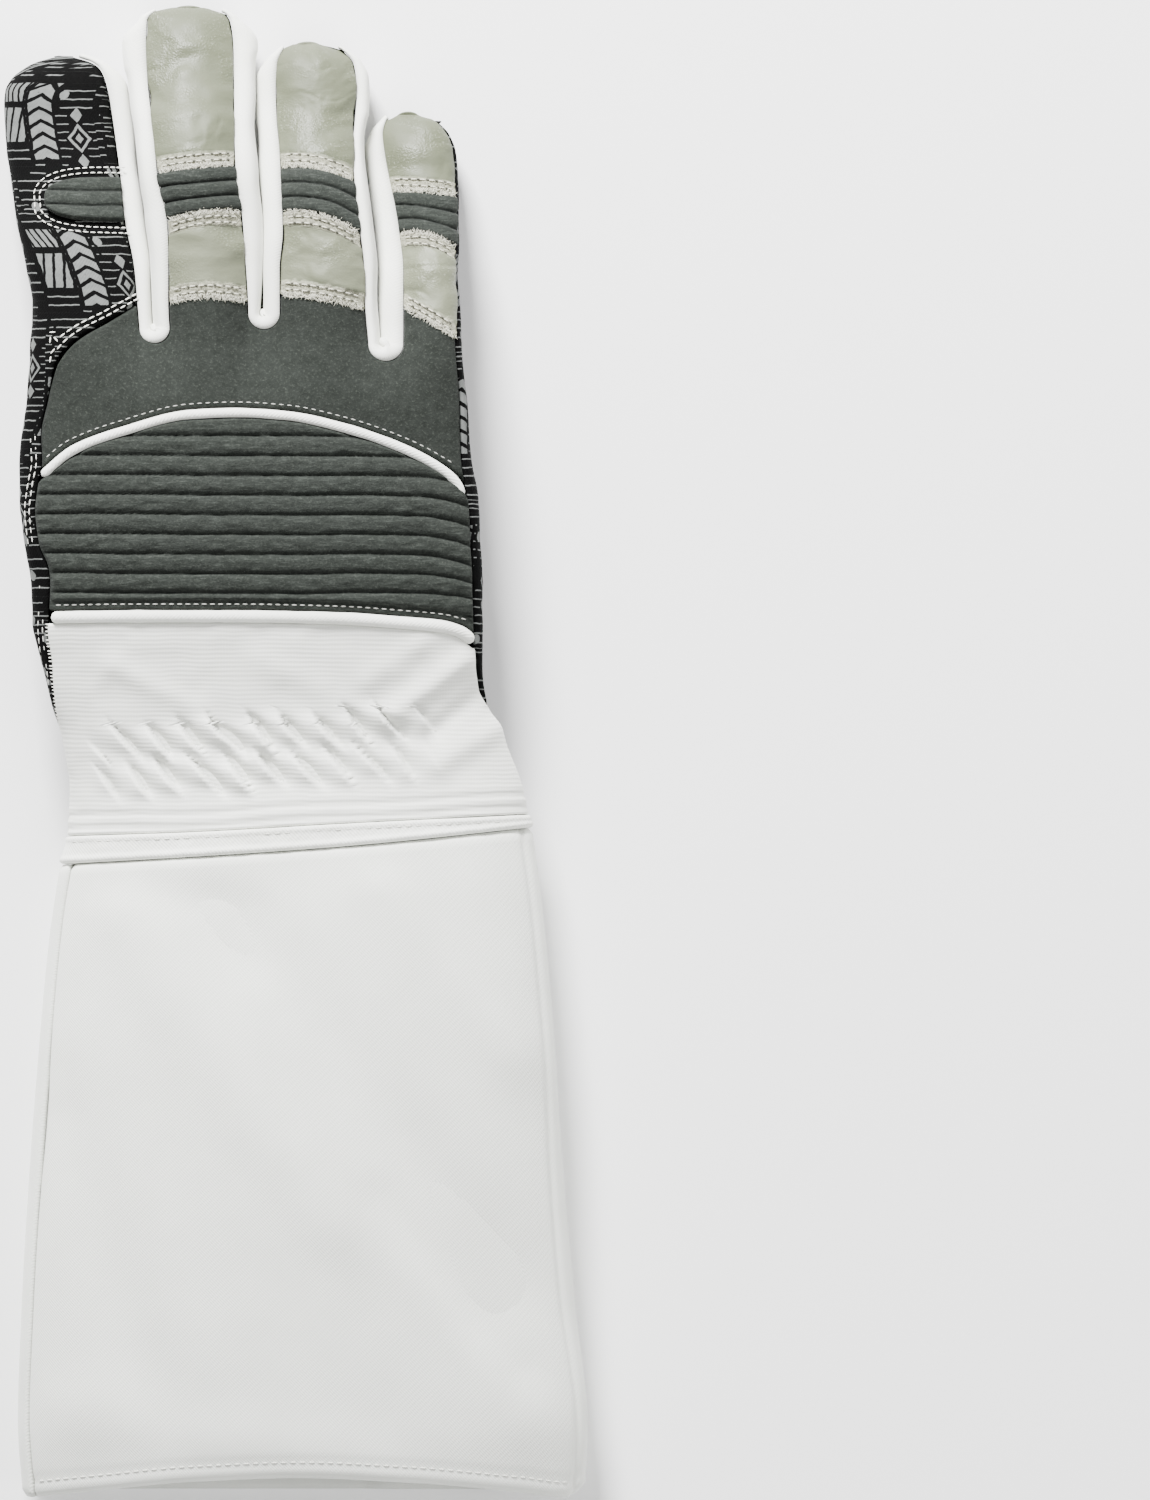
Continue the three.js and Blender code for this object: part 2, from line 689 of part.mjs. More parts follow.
// Finger side walls between neighbouring fingers
const WALL_OFF = SEAM_GAP + CLOTH;
const RAIL = 9;
const ARC = 6;
const TIP_MARGIN = 0.9;
const RAIL_POWER = 1.6;
function rail(g, i) {
  const gap = GAPS[g];
  if (i > RAIL && i < RAIL + ARC) {
    const a = (Math.PI * (i - RAIL)) / ARC;
    const n = [Math.cos(a), Math.sin(a)];
    return { x: gap.x - gap.radius * n[0], y: gap.y - gap.radius * n[1], n, room: gap.radius, rise: 1 };
  }
  const first = i <= RAIL;
  const f = FINGERS[first ? g : g + 1];
  const step = (first ? i : 2 * RAIL + ARC - i) / RAIL;
  const y = mix(f.tip - TIP_MARGIN, gap.y, step ** RAIL_POWER);
  const k = first ? 2 * g + 1 : 2 * g + 2;
  const e = 0.4;
  const slope = (knot(k, y + e) - knot(k, y - e)) / (2 * e);
  const length = Math.hypot(1, slope);
  const side = first ? 1 : -1;
  const room = (knot(2 * g + 2, y) - knot(2 * g + 1, y)) / 2;
  const rise = mix(0.3, 1, ease(f.tip - y, 0, WALL_RISE));
  return { x: knot(k, y), y, n: [side / length, (-side * slope) / length], room, rise };
}
const WALL_ROWS = 4;
function wallPoint(g, i, j) {
  const r = rail(g, i);
  const a = (Math.PI * j) / WALL_ROWS;
  const extra = Math.min(WALL_BULGE, r.room - SEAM_GAP) - WALL_OFF;
  const out = WALL_OFF + Math.max(0.3, extra) * r.rise * Math.sin(a);
  const [low, high] = heights(r.x, r.y);
  const z = (low + high) / 2 + ((high - low) / 2) * Math.cos(a);
  return [r.x + r.n[0] * out, r.y + r.n[1] * out, z];
}
["index_middle", "middle_ring", "ring_little"].forEach((name, g) => {
  add("fourchette_" + name, sheet(2 * RAIL + ARC, WALL_ROWS, (i, j) => wallPoint(g, i, j), CLOTH), WHITE);
});

// Leather and ribbed bands on the middle, ring and little fingers
const BAND_RIBS = 3;
const RIB_ROWS = 3;
const BAND_RISE = 1.1;
const through = (row, s) => {
  const [a, m, b] = row;
  return ((a * (1 - s) * (1 - 2 * s)) + (m * 4 * s * (1 - s)) + (b * s * (2 * s - 1))) * PER_LENGTH;
};
const ribLift = (j, rise) => (j % RIB_ROWS === 0 ? 0 : rise);
function fingerX(k, s, y) {
  const right = k === 6 ? knot(7, y) - rightSeam(y) - SIDE_GAP : knot(k + 1, y);
  return mix(knot(k, y), right, s);
}
function fingerStrip(k, nu, rows, low, high, wall, rise) {
  const spread = rows === 7 ? (j) => 1 - (1 - j / rows) ** 1.7 : (j) => j / rows;
  return sheet(nu, rows, (i, j) => {
    const s = i / nu;
    const y = mix(low(s), high(s), spread(j));
    const x = fingerX(k, s, y);
    return [x, y, over(x, y)];
  }, wall, { lift: rise ? (i, j) => ribLift(j, rise) * (i % nu === 0 ? 0.4 : 1) : null });
}
[["middle", MIDDLE_BANDS], ["ring", RING_BANDS], ["little", LITTLE_BANDS]].forEach(([name, bands], i) => {
  const k = 2 * (i + 1);
  const half = SEAM_GAP / 2 + 0.02;
  const at = (row, off) => (s) => through(bands[row], s) + off;
  const tip = () => FINGERS[i + 1].tip;
  add(name + "_tip_leather", fingerStrip(k, 4, 7, at(0, half), tip, LEATHER), LEATHER_TINT);
  add(name + "_rib_band", fingerStrip(k, 4, BAND_RIBS * RIB_ROWS, at(1, half), at(0, -half), RIB_BASE, BAND_RISE), RIB_TINT);
  add(name + "_leather_band", fingerStrip(k, 4, 3, at(2, half), at(1, -half), LEATHER), LEATHER_TINT);
});

// Ribbed patch on the index finger
const PATCH_MIDDLE = 868.8;
const PATCH_HALF = 14.7;
const PATCH_APEX = -166.7;
const PATCH_WALL = 1.5;
const PATCH_INSET = 1.2;
const PATCH_COLUMNS = 6;
const PATCH_BLUNT = 3.2;
const PATCH_ROUND = 0.42;
add("index_rib_patch", sheet(PATCH_COLUMNS, BAND_RIBS * RIB_ROWS, (i, j) => {
  const s = i / PATCH_COLUMNS;
  const v = (2 * j) / (BAND_RIBS * RIB_ROWS) - 1;
  const y = (PATCH_MIDDLE + v * PATCH_HALF * (1 - 0.97 * s ** PATCH_BLUNT) ** PATCH_ROUND) * PER_LENGTH;
  const x = mix(knot(1, y) - PATCH_INSET, PATCH_APEX * PER_LENGTH, s);
  return [x, y, over(x, y)];
}, PATCH_WALL, {
  flip: true,
  shift: () => SEAM_GAP + PATCH_WALL,
  lift: (i, j) => ribLift(j, BAND_RISE) * (i < PATCH_COLUMNS ? 1 : 0.3),
}), RIB_TINT);

// Curves given as x, y tables
const curve = (rows) => column(rows.map(([x, y]) => [x, y]), 1);
const pipingLine = curve(PIPING);
const knuckleTop = curve(KNUCKLE_TOP);
const ribBottom = curve(RIB_BOTTOM);
const bindingLine = curve(BINDING);
const bandTop = curve(BAND_TOP);
const bandBottom = curve(BAND_BOTTOM);
const hemLine = curve(HEM);
const beside = (line, x, distance) => {
  const slope = (line(x + 0.5) - line(x - 0.5)) / 1;
  return line(x) + distance * Math.hypot(1, slope);
};

// Knuckle panel, with tongues that reach up between the finger gaps
const TONGUE = 16.1 * PER_LENGTH;
const ARC_ROWS = 5;
const PIPING_ROOM = PIPING_RADIUS + SEAM_GAP;
const knucklePlan = columns([5, 3, 4, 3, 4, 3, 4]);
const TOPS = [null, MIDDLE_BANDS, RING_BANDS, LITTLE_BANDS];
function knuckleX(c, y) {
  const left = knot(0, y) + leftSeam(Math.min(y, KNUCKLE_LEFT_TOP)) + SIDE_GAP;
  const right = knot(7, y) - rightSeam(y) - SIDE_GAP;
  if (c.k === 0) return mix(left, knot(1, y), c.share);
  if (c.k === 6) return mix(knot(6, y), right, c.share);
  return mix(knot(c.k, y), knot(c.k + 1, y), c.share);
}
function knuckleRows(c) {
  if (c.k === 0) {
    const x = mix(KNUCKLE_TOP[0][0], KNUCKLE_TOP[KNUCKLE_TOP.length - 1][0], c.share) * PER_LENGTH;
    const top = beside(knuckleTop, x, -KNUCKLE_GAP);
    return [top - TONGUE, top];
  }
  const line = crotchLine(c.k, c.share);
  if (c.k % 2 === 1) {
    const before = c.share === 0;
    const top = before ? knuckleRows({ k: c.k - 1, share: 1 })[1] : line + TONGUE;
    return [before ? knuckleRows({ k: c.k - 1, share: 1 })[0] : line, top];
  }
  return [line, through(TOPS[c.k / 2][2], c.share) - SEAM_GAP / 2 - 0.02];
}
add("knuckle_panel", sheet(knucklePlan.length - 1, ARC_ROWS + 2, (i, j) => {
  const c = knucklePlan[i];
  const [line, top] = knuckleRows(c);
  const start = beside(pipingLine, knuckleX(c, 700 * PER_LENGTH), PIPING_ROOM);
  const y = j <= ARC_ROWS ? mix(start, line, j / ARC_ROWS) : mix(line, top, (j - ARC_ROWS) / 2);
  const x = knuckleX(c, y);
  return [x, y, over(x, y)];
}, NEOPRENE, { exists: (i, j) => j < ARC_ROWS || knucklePlan[i].k % 2 === 0 }), GREY);

// Round pipings that follow the back
function piping(line, radius, from, to, steps, rise) {
  const points = Array.from({ length: steps + 1 }, (_, i) => {
    const x = mix(from, to, i / steps) * PER_LENGTH;
    const y = line(x);
    return new THREE.Vector3(x, y, over(x, y) + rise);
  });
  const profile = new THREE.Shape();
  profile.absarc(0, 0, radius, 0, Math.PI * 2);
  return new THREE.ExtrudeGeometry(profile, {
    steps: steps * 2, curveSegments: 4, bevelEnabled: false,
    extrudePath: new THREE.CatmullRomCurve3(points),
  });
}
const PIPING_ENDS = [-167.5, 109.5];
const BINDING_ENDS = [-160.5, 116];
add("knuckle_piping", piping(pipingLine, PIPING_RADIUS, ...PIPING_ENDS, 14, -0.1), WHITE);
add("wrist_binding", piping(bindingLine, BINDING_RADIUS, ...BINDING_ENDS, 8, -0.1), WHITE);

// Angle round the hand, wrist or cuff at a signed distance from the left or right outline
function edgeAngle(side, g, y) {
  const a = Math.sign(g) * Math.acos(clamp(1 - (2 * Math.abs(g)) / (knot(7, y) - knot(0, y)), -1, 1));
  return side < 0 ? a : Math.PI - a;
}
function ringPoint(angle, y) {
  const x = knot(0, y) + ((knot(7, y) - knot(0, y)) * (1 - Math.cos(angle))) / 2;
  return [x, y, Math.sin(angle) >= 0 ? over(x, y) : under(x, y)];
}

// Quilted ribs on the back of the hand, cut to the arc of the piping
const RIB_PITCH = 13.05;
const RIB_LOW = 593.4;
const RIB_COUNT = 11;
const RIB_COLUMNS = 10;
const ribSheet = sheet(RIB_COLUMNS, RIB_COUNT * 2, (i, j) => {
  const y = (RIB_LOW + (RIB_PITCH * j) / 2) * PER_LENGTH;
  const from = edgeAngle(-1, leftSeam(y) + SIDE_GAP, y);
  const to = edgeAngle(1, rightSeam(y) + SIDE_GAP, y);
  return ringPoint(mix(from, to, i / RIB_COLUMNS), y);
}, RIB_BASE, { lift: (i, j) => (j % 2 ? RIB_RISE : 0) * (i % RIB_COLUMNS === 0 ? 0.5 : 1) });
const ribShape = new THREE.Shape();
const RIB_STEPS = 16;
const RIB_SPAN = [-190, 130];
const ribX = (i) => mix(...RIB_SPAN, i / RIB_STEPS) * PER_LENGTH;
ribShape.moveTo(ribX(0), beside(bindingLine, ribX(0), BINDING_RADIUS + SEAM_GAP));
for (let i = 1; i <= RIB_STEPS; i += 1) {
  ribShape.lineTo(ribX(i), beside(bindingLine, ribX(i), BINDING_RADIUS + SEAM_GAP));
}
for (let i = RIB_STEPS; i >= 0; i -= 1) ribShape.lineTo(ribX(i), beside(pipingLine, ribX(i), -PIPING_ROOM));
ribShape.closePath();
const ribPrism = new THREE.ExtrudeGeometry(ribShape, { depth: HEIGHT * 2, bevelEnabled: false });
add("rib_panel", keep(ribSheet, ribPrism), RIB_TINT);

// Elastic wrist panel and the band that joins it to the cuff
const WRIST_COLUMNS = 16;
const WRIST_ROWS = 7;
function ringSheet(nu, nv, leftG, rightG, low, high, wall, options) {
  return sheet(nu, nv, (i, j) => {
    const near = (y) => ringPoint(mix(edgeAngle(-1, leftG(y), y), edgeAngle(1, rightG(y), y), i / nu), y)[0];
    const y = mix(low(near(low(0))), high(near(high(0))), j / nv);
    const angle = mix(edgeAngle(-1, leftG(y), y), edgeAngle(1, rightG(y), y), i / nu);
    return ringPoint(angle, y);
  }, wall, options);
}
const leftBack = (y) => leftSeam(y) + SIDE_GAP;
const rightBack = (y) => rightSeam(y) + SIDE_GAP;
const PUCKER = 0.5;
add("wrist_panel", ringSheet(WRIST_COLUMNS, WRIST_ROWS, leftBack, rightBack,
  (x) => beside(bandTop, x, SEAM_GAP / 2), (x) => beside(bindingLine, x, -BINDING_RADIUS - BINDING_GAP), CLOTH,
  { lift: (i, j) => (j > 1 && j < 6 && (i + j) % 2 && i % WRIST_COLUMNS ? PUCKER : 0) }), WHITE);
add("wrist_seam_band", ringSheet(WRIST_COLUMNS, 2, leftBack, rightBack,
  (x) => beside(bandBottom, x, SEAM_GAP / 2), (x) => beside(bandTop, x, -SEAM_GAP / 2), CUFF_WALL), WHITE);

// Cuff: a back with a flap that wraps round the right side over the palm side
const CUFF_SEAM = 5.4 * PER_LENGTH;
const FLAP_LOW = 62 * PER_LENGTH;
const FLAP_TOP = 41 * PER_LENGTH;
const LOOP_LOW = 134 * PER_LENGTH;
const LOOP_TOP = 103 * PER_LENGTH;
const CUFF_TOP = 425 * PER_LENGTH;
const PALM_CUFF_LOW = 5.4 * PER_LENGTH;
const PALM_CUFF_START = 24 * PER_LENGTH;
const flapReach = (y) => mix(FLAP_LOW, FLAP_TOP, clamp(y / CUFF_TOP, 0, 1));
const loopReach = (y) => mix(LOOP_LOW, LOOP_TOP, clamp(y / CUFF_TOP, 0, 1));
const CUFF_COLUMNS = 22;
const CUFF_ROWS = 7;
add("cuff_back", sheet(CUFF_COLUMNS, CUFF_ROWS, (i, j) => {
  const span = (y) => {
    const from = edgeAngle(-1, CUFF_SEAM + SIDE_GAP, y);
    return mix(from, edgeAngle(1, -flapReach(y), y), i / CUFF_COLUMNS);
  };
  const top = ringPoint(span(CUFF_TOP), CUFF_TOP)[0];
  const bottom = ringPoint(span(0), 0)[0];
  const isUnder = span(CUFF_TOP) > Math.PI;
  const highY = isUnder ? palmHem(top) - FLAP_HEM_GAP : beside(bandBottom, top, -SEAM_GAP / 2);
  const lowY = mix(hemLine(bottom), PALM_CUFF_LOW, ease(span(0), Math.PI * 0.9, Math.PI * 1.1));
  const y = mix(lowY, highY, j / CUFF_ROWS);
  return ringPoint(span(y), y);
}, CUFF_WALL), CUFF_TINT);

// Palm side of the cuff, lifted over the closure where the flap lies under it
const LIFT_EASE = 12 * PER_LENGTH;
const STACK_GAP = 0.5;
const FLAP_STACK = CUFF_WALL + STRIP_WALL + 2 * STACK_GAP;
const LOOP_STACK = STRIP_WALL + STACK_GAP;
const ramp = (v, from, to) => clamp((v - from) / (to - from), 0, 1);
function palmLift(x, y) {
  const d = knot(7, y) - x;
  const flap = 1 - ramp(d, flapReach(y) + 1, flapReach(y) + 1 + LIFT_EASE);
  const loop = 1 - ramp(d, loopReach(y) + 1, loopReach(y) + 1 + LIFT_EASE);
  return flap * FLAP_STACK + loop * LOOP_STACK;
}
// Distances from the right outline at which the lift changes
const liftSteps = (y) => {
  const [flap, loop] = [flapReach(y) + 1, loopReach(y) + 1];
  return [loop + LIFT_EASE, loop, mix(flap + LIFT_EASE, loop, 0.5), flap + LIFT_EASE, flap, mix(PALM_CUFF_START, flap, 0.5)];
};
const CUFF_PALM_LEFT = 12;
const LIFT_COLUMNS = 6;
function cuffPalmPoint(i, j) {
  const span = (y) => {
    const steps = [...liftSteps(y), PALM_CUFF_START];
    const near = (d) => edgeAngle(1, -d, y) - 2 * Math.PI;
    if (i > CUFF_PALM_LEFT) return near(steps[i - CUFF_PALM_LEFT]);
    return mix(edgeAngle(-1, CUFF_SEAM, y), near(steps[0]), i / CUFF_PALM_LEFT);
  };
  const top = ringPoint(span(CUFF_TOP), CUFF_TOP)[0];
  const bottom = ringPoint(span(0), 0)[0];
  const back = span(CUFF_TOP) > 0;
  const highY = back ? beside(bandBottom, top, -SEAM_GAP / 2) : palmHem(top) - HEM_GAP;
  const lowY = mix(hemLine(bottom), PALM_CUFF_LOW, ease(-span(0), -0.3, 0.3));
  const y = mix(lowY, highY, j / CUFF_ROWS);
  return ringPoint(span(y), y);
}
add("cuff_palm", sheet(CUFF_PALM_LEFT + LIFT_COLUMNS, CUFF_ROWS, cuffPalmPoint, CUFF_WALL, {
  flip: true,
  shift: (i, j) => {
    const [x, y] = cuffPalmPoint(i, j);
    return -palmLift(x, y);
  },
}), CUFF_TINT);
const STRIP_LOW = 9 * PER_LENGTH;
const STRIP_TOP = 425 * PER_LENGTH;
const STRIP_START = 27 * PER_LENGTH;
const HOOK_INSET = 6 * PER_LENGTH;
function closureStrip(steps, depth) {
  const at = (i, j) => {
    const y = mix(STRIP_LOW, STRIP_TOP, j / CUFF_ROWS);
    const x = knot(7, y) - steps(y)[i];
    return [x, y, under(x, y)];
  };
  const count = steps(0).length - 1;
  return sheet(count, CUFF_ROWS, at, STRIP_WALL, { flip: true, shift: (i, j) => -depth(...at(i, j)) });
}
const loopSteps = (y) => [loopReach(y), ...liftSteps(y).slice(2), STRIP_START];
const hookSteps = (y) => [flapReach(y) - HOOK_INSET, mix(STRIP_START, flapReach(y), 0.5), STRIP_START];
add("loop_strip", closureStrip(loopSteps, (x, y) => palmLift(x, y) - LOOP_STACK), GREY);
add("hook_strip", closureStrip(hookSteps, () => CUFF_WALL + STACK_GAP), GREY);

// Stand the glove with the middle of its base at the origin
const box = new THREE.Box3().setFromObject(glove);
glove.position.set(-(box.min.x + box.max.x) / 2, -(box.min.y + box.max.y) / 2, -box.min.z);
export default glove;
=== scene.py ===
import math
import bpy
import numpy as np
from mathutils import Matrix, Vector


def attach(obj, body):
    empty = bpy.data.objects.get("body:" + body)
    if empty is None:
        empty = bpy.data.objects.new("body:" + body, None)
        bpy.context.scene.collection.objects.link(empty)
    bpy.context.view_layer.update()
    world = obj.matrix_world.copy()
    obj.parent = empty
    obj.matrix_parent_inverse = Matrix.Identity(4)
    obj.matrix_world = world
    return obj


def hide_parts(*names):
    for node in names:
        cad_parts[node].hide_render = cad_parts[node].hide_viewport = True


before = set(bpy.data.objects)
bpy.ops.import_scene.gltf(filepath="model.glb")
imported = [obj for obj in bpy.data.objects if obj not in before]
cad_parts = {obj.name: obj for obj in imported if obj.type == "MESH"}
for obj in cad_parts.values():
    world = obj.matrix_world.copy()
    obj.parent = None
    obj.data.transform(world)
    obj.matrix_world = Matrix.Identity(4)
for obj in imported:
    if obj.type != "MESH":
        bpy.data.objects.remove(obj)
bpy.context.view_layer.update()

# Sizes, in millimetres
LENGTH = 385.0
HEIGHT = 40.0
PL = LENGTH / 1000.0
PH = HEIGHT / 1000.0
MIDDLE = (0.0749, -193.0433)
CLOTH, LEATHER, NEOPRENE, CUFF_WALL = 1.1, 1.3, 2.4, 1.9
FINGER_HALF = [9.0, 9.4, 9.1, 8.4]
TIP_LENGTH, TIP_HALF = 13.0, 1.7
SEAM_SHARE, UNDER_SEAM_SHARE, FINGER_FULLNESS = 0.55, 0.6, 2.3
FLOOR_BLEND = 1.6
ROOT_Y = 773.8 * PL
FLOOR_CLEAR = 0.02
UV_SCALE = 100.0
BLEND_FROM, BLEND_TO = 727 * PL, 788 * PL

# Tables, in thousandths of LENGTH and HEIGHT
OUTLINE = [
    (0, -182.7, 193.4, -200, 750, 2.2), (50.9, -186.1, 195.4, -200, 837.5, 2.2),
    (131.2, -183.4, 187.4, -200, 887.5, 2.2), (211.5, -178.7, 180.1, -200, 912.5, 2.2),
    (291.8, -172.7, 174, -200, 900, 2.2), (372.2, -165.3, 167.3, -175, 850, 2.2),
    (425.7, -157.3, 161.3, -100, 787.5, 2.3), (452.5, -151.9, 158, -25, 762.5, 2.3),
    (479.3, -151.3, 151.3, 100, 750, 2.4), (506, -155.3, 140.6, 225, 762.5, 2.4),
    (532.8, -162.7, 128.5, 337.5, 800, 2.5), (559.6, -169.3, 125.2, 410, 862.5, 2.6),
    (586.3, -175.4, 125.8, 425, 920, 2.7), (613.1, -176, 125.8, 425, 955, 2.7),
    (639.9, -180.7, 123.8, 425, 980, 2.7), (666.7, -184.1, 123.2, 425, 995, 2.7),
    (693.4, -184.1, 118.5, 425, 1000, 2.7), (733.6, -178.7, 115.1, 425, 1000, 2.7),
    (773.8, -176.7, 111.8, 435, 985, 2.7), (800.5, -175.4, 111.1, 445, 960, 2.7),
]
INDEX = [
    (773.8, -176.7, -103.1), (796.5, -175.4, -105.1), (824.6, -179.4, -107.8), (858.1, -187.4, -114.5),
    (878.2, -190.1, -116.5), (902.3, -193.4, -119.8), (934.4, -195.4, -124.5), (942.4, -194.8, -125.8),
    (950.5, -190.8, -127.8), (958.5, -181.4, -131.9), (962.5, -173.4, -137.2), (966.5, -159.3, -149.3),
]
MIDDLE_F = [
    (773.8, -82.3, -30.8), (801.2, -83.7, -31.5), (832, -83.7, -33.5), (858.1, -85, -35.5),
    (883.5, -91, -39.5), (911.6, -93.7, -40.8), (949.8, -98.4, -41.5), (975.9, -99.7, -42.2),
    (990, -99.1, -44.2), (994.6, -95.7, -47.5), (998.7, -87, -56.9),
]
RING = [
    (773.8, -9.4, 48.9), (796.5, -9.4, 46.9), (822, -9.4, 46.2), (847.4, -7.4, 43.5), (880.9, -8.7, 39.5),
    (904.3, -10, 38.2), (924.4, -12, 39.5), (944.4, -12.7, 40.8), (960.5, -12, 38.8), (970.5, -8, 30.8),
    (974.6, -4.7, 20.7),
]
LITTLE = [
    (773.8, 73, 111.8), (799.2, 73, 111.1), (822, 73, 109.1), (847.4, 70.3, 109.8), (864.8, 67.6, 109.8),
    (883.5, 63.6, 109.1), (902.3, 60.2, 107.1), (914.3, 58.9, 102.4), (922.4, 60.9, 95), (927.7, 64.9, 87.7),
]
INDEX_DROOP = [(760.4, 710), (820.6, 612.5), (867.5, 450), (907.6, 300), (941.1, 235), (966.5, 220)]
MIDDLE_DROOP = [
    (760.4, 710), (827.3, 690), (877.5, 655), (921, 500), (961.2, 287.5), (981.3, 230), (998.7, 220),
]
RING_DROOP = [
    (760.4, 710), (827.3, 675), (867.5, 600), (907.6, 412.5), (941.1, 262.5), (961.2, 227.5), (974.6, 217.5),
]
LITTLE_DROOP = [(753.7, 700), (800.5, 612.5), (840.7, 462.5), (874.2, 312.5), (900.9, 225), (927.7, 207.5)]
CROTCHES = [(772.4,), (781.8,), (760.4,)]
LEFT_SEAM = [
    (425.7, -2.7), (506, -2), (532.8, 2), (559.6, 6), (593, 10.7), (621.8, 12), (640.6, 8.7), (658.6, 9.4),
    (678.7, 12), (694.1, 14.7), (718.2, 11.4), (737.6, 13.4), (743, 14.1), (760.4, 17.4), (775.8, 30.8),
    (788.5, 52.9), (799.2, 70.3),
]
RIGHT_SEAM = [
    (425.7, -8), (506, -6), (532.8, 0), (559.6, 4), (589, 5.4), (612.4, 6), (639.2, 5.4), (675.4, 6),
    (710.8, 4.7), (747, 2.7), (773.8, 2.7), (799.2, 1.3), (867.5, 1.3),
]
PIPING = [
    (-172, 681.4), (-145.9, 702.1), (-113.1, 714.2), (-69.6, 724.9), (-38.8, 726.2), (-5.4, 724.2),
    (32.8, 716.2), (71.6, 702.8), (97.1, 689.4), (107.8, 680.1), (113.8, 668.7),
]
KNUCKLE_TOP = [(-164, 743), (-159.3, 760.4), (-145.9, 775.8), (-123.2, 788.5), (-104.4, 799.2)]
BINDING = [
    (-166, 589.7), (-103.7, 590.4), (-43.5, 590.4), (30.1, 589), (70.3, 586.3), (98.4, 583.7), (110.4, 580.3),
    (119.8, 573.6),
]
BAND_TOP = [(-157.3, 443.8), (-63.6, 447.1), (32.8, 452.5), (157.3, 458.5)]
BAND_BOTTOM = [(-157.3, 425), (-63.6, 430.4), (32.8, 437.1), (164, 449.8)]
HEM = [
    (-184.1, 0), (-137.2, 5.4), (-63.6, 12.7), (6, 15.4), (77, 12), (150.6, 4.7), (183.4, 0.7), (197.5, 12),
]
MIDDLE_BANDS = [(886.9, 890.2, 891.6), (854.8, 860.8, 860.8), (799.9, 803.2, 800.5)]
RING_BANDS = [(890.9, 889.6, 880.9), (860.8, 858.8, 846.1), (805.2, 801.9, 795.2)]
LITTLE_BANDS = [(875.5, 874.8, 872.2), (847.4, 846.7, 837.3), (796.5, 786.5, 775.8)]
THUMB_RINGS = [
    (-32.1, 5.4, 874.2, 240, 874.2, 140), (-32.1, 14.1, 871.5, 315, 871.5, 60),
    (-33.5, 22.8, 863.5, 375, 863.5, -15), (-38.8, 30.1, 846.1, 390, 846.1, -55),
    (-47.5, 38.2, 820.6, 392.5, 820.6, -65), (-60.2, 48.9, 780.5, 392.5, 780.5, -65),
    (-71.6, 58.9, 740.3, 392.5, 740.3, -65), (-82.3, 66.3, 706.8, 392.5, 706.8, -65),
    (-88.4, 68.9, 689.4, 392.5, 680.1, -65), (-91.7, 69.6, 679.4, 397.5, 634.5, -55),
    (-93, 69.6, 675.4, 410, 591.7, 45), (-94.4, 69.6, 674, 430, 566.3, 225),
    (-94.4, 69.6, 673.4, 487.5, 556.9, 430),
]


def column(rows, index, scale=PL):
    r = sorted((a[0] * PL, a[index] * scale) for a in rows)
    xs = np.array([a for a, _ in r])
    ys = np.array([b for _, b in r])
    d = np.diff(ys) / np.diff(xs)
    m = np.empty(len(xs))
    m[0], m[-1] = d[0], d[-1]
    a, b = d[:-1], d[1:]
    m[1:-1] = np.where(a * b <= 0, 0, 2 * a * b / np.where(a + b == 0, 1, a + b))

    def f(at):
        at = np.clip(np.asarray(at, float), xs[0], xs[-1])
        i = np.clip(np.searchsorted(xs, at, side="right") - 1, 0, len(xs) - 2)
        h = xs[i + 1] - xs[i]
        t = (at - xs[i]) / h
        s = 1 - t
        bend = h * t * s * (m[i] * s - m[i + 1] * t)
        return ys[i] * s * s * (1 + 2 * t) + ys[i + 1] * t * t * (3 - 2 * t) + bend

    return f


def mix(a, b, t):
    return a + (b - a) * t


def ease(v, lo, hi):
    t = np.clip((np.asarray(v, float) - lo) / (hi - lo), 0, 1)
    return t * t * (3 - 2 * t)


def floor_clamp(z):
    soft = (z + FLOOR_BLEND) ** 2 / (4 * FLOOR_BLEND)
    return np.where(z < -FLOOR_BLEND, 0.0, np.where(z > FLOOR_BLEND, z, soft))


out_left, out_right = column(OUTLINE, 1), column(OUTLINE, 2)
out_under, out_over, out_full = column(OUTLINE, 3, PH), column(OUTLINE, 4, PH), column(OUTLINE, 5, 1)
TABLES = [INDEX, MIDDLE_F, RING, LITTLE]
DROOPS = [INDEX_DROOP, MIDDLE_DROOP, RING_DROOP, LITTLE_DROOP]
KNOTS = [column(t, c) for t in TABLES for c in (1, 2)]
droop = [column(t, 1, PH) for t in DROOPS]
TIPS = [t[-1][0] * PL for t in TABLES]
_k0, _k7 = KNOTS[0](ROOT_Y), KNOTS[7](ROOT_Y)
SHARES = [(k(ROOT_Y) - _k0) / (_k7 - _k0) for k in KNOTS]


def knot(k, y):
    y = np.asarray(y, float)
    low = mix(out_left(y), out_right(y), SHARES[k])
    return np.where(y >= ROOT_Y, KNOTS[k](y), low)


def hand_heights(x, y):
    a, b = knot(0, y), knot(7, y)
    f = np.clip((x - a) / (b - a), 0, 1)
    u, o, n = out_under(y), out_over(y), out_full(y)
    rise = (o - u) / 2 * (1 - np.abs(2 * f - 1) ** n) ** (1 / n)
    return (o + u) / 2 - rise, (o + u) / 2 + rise


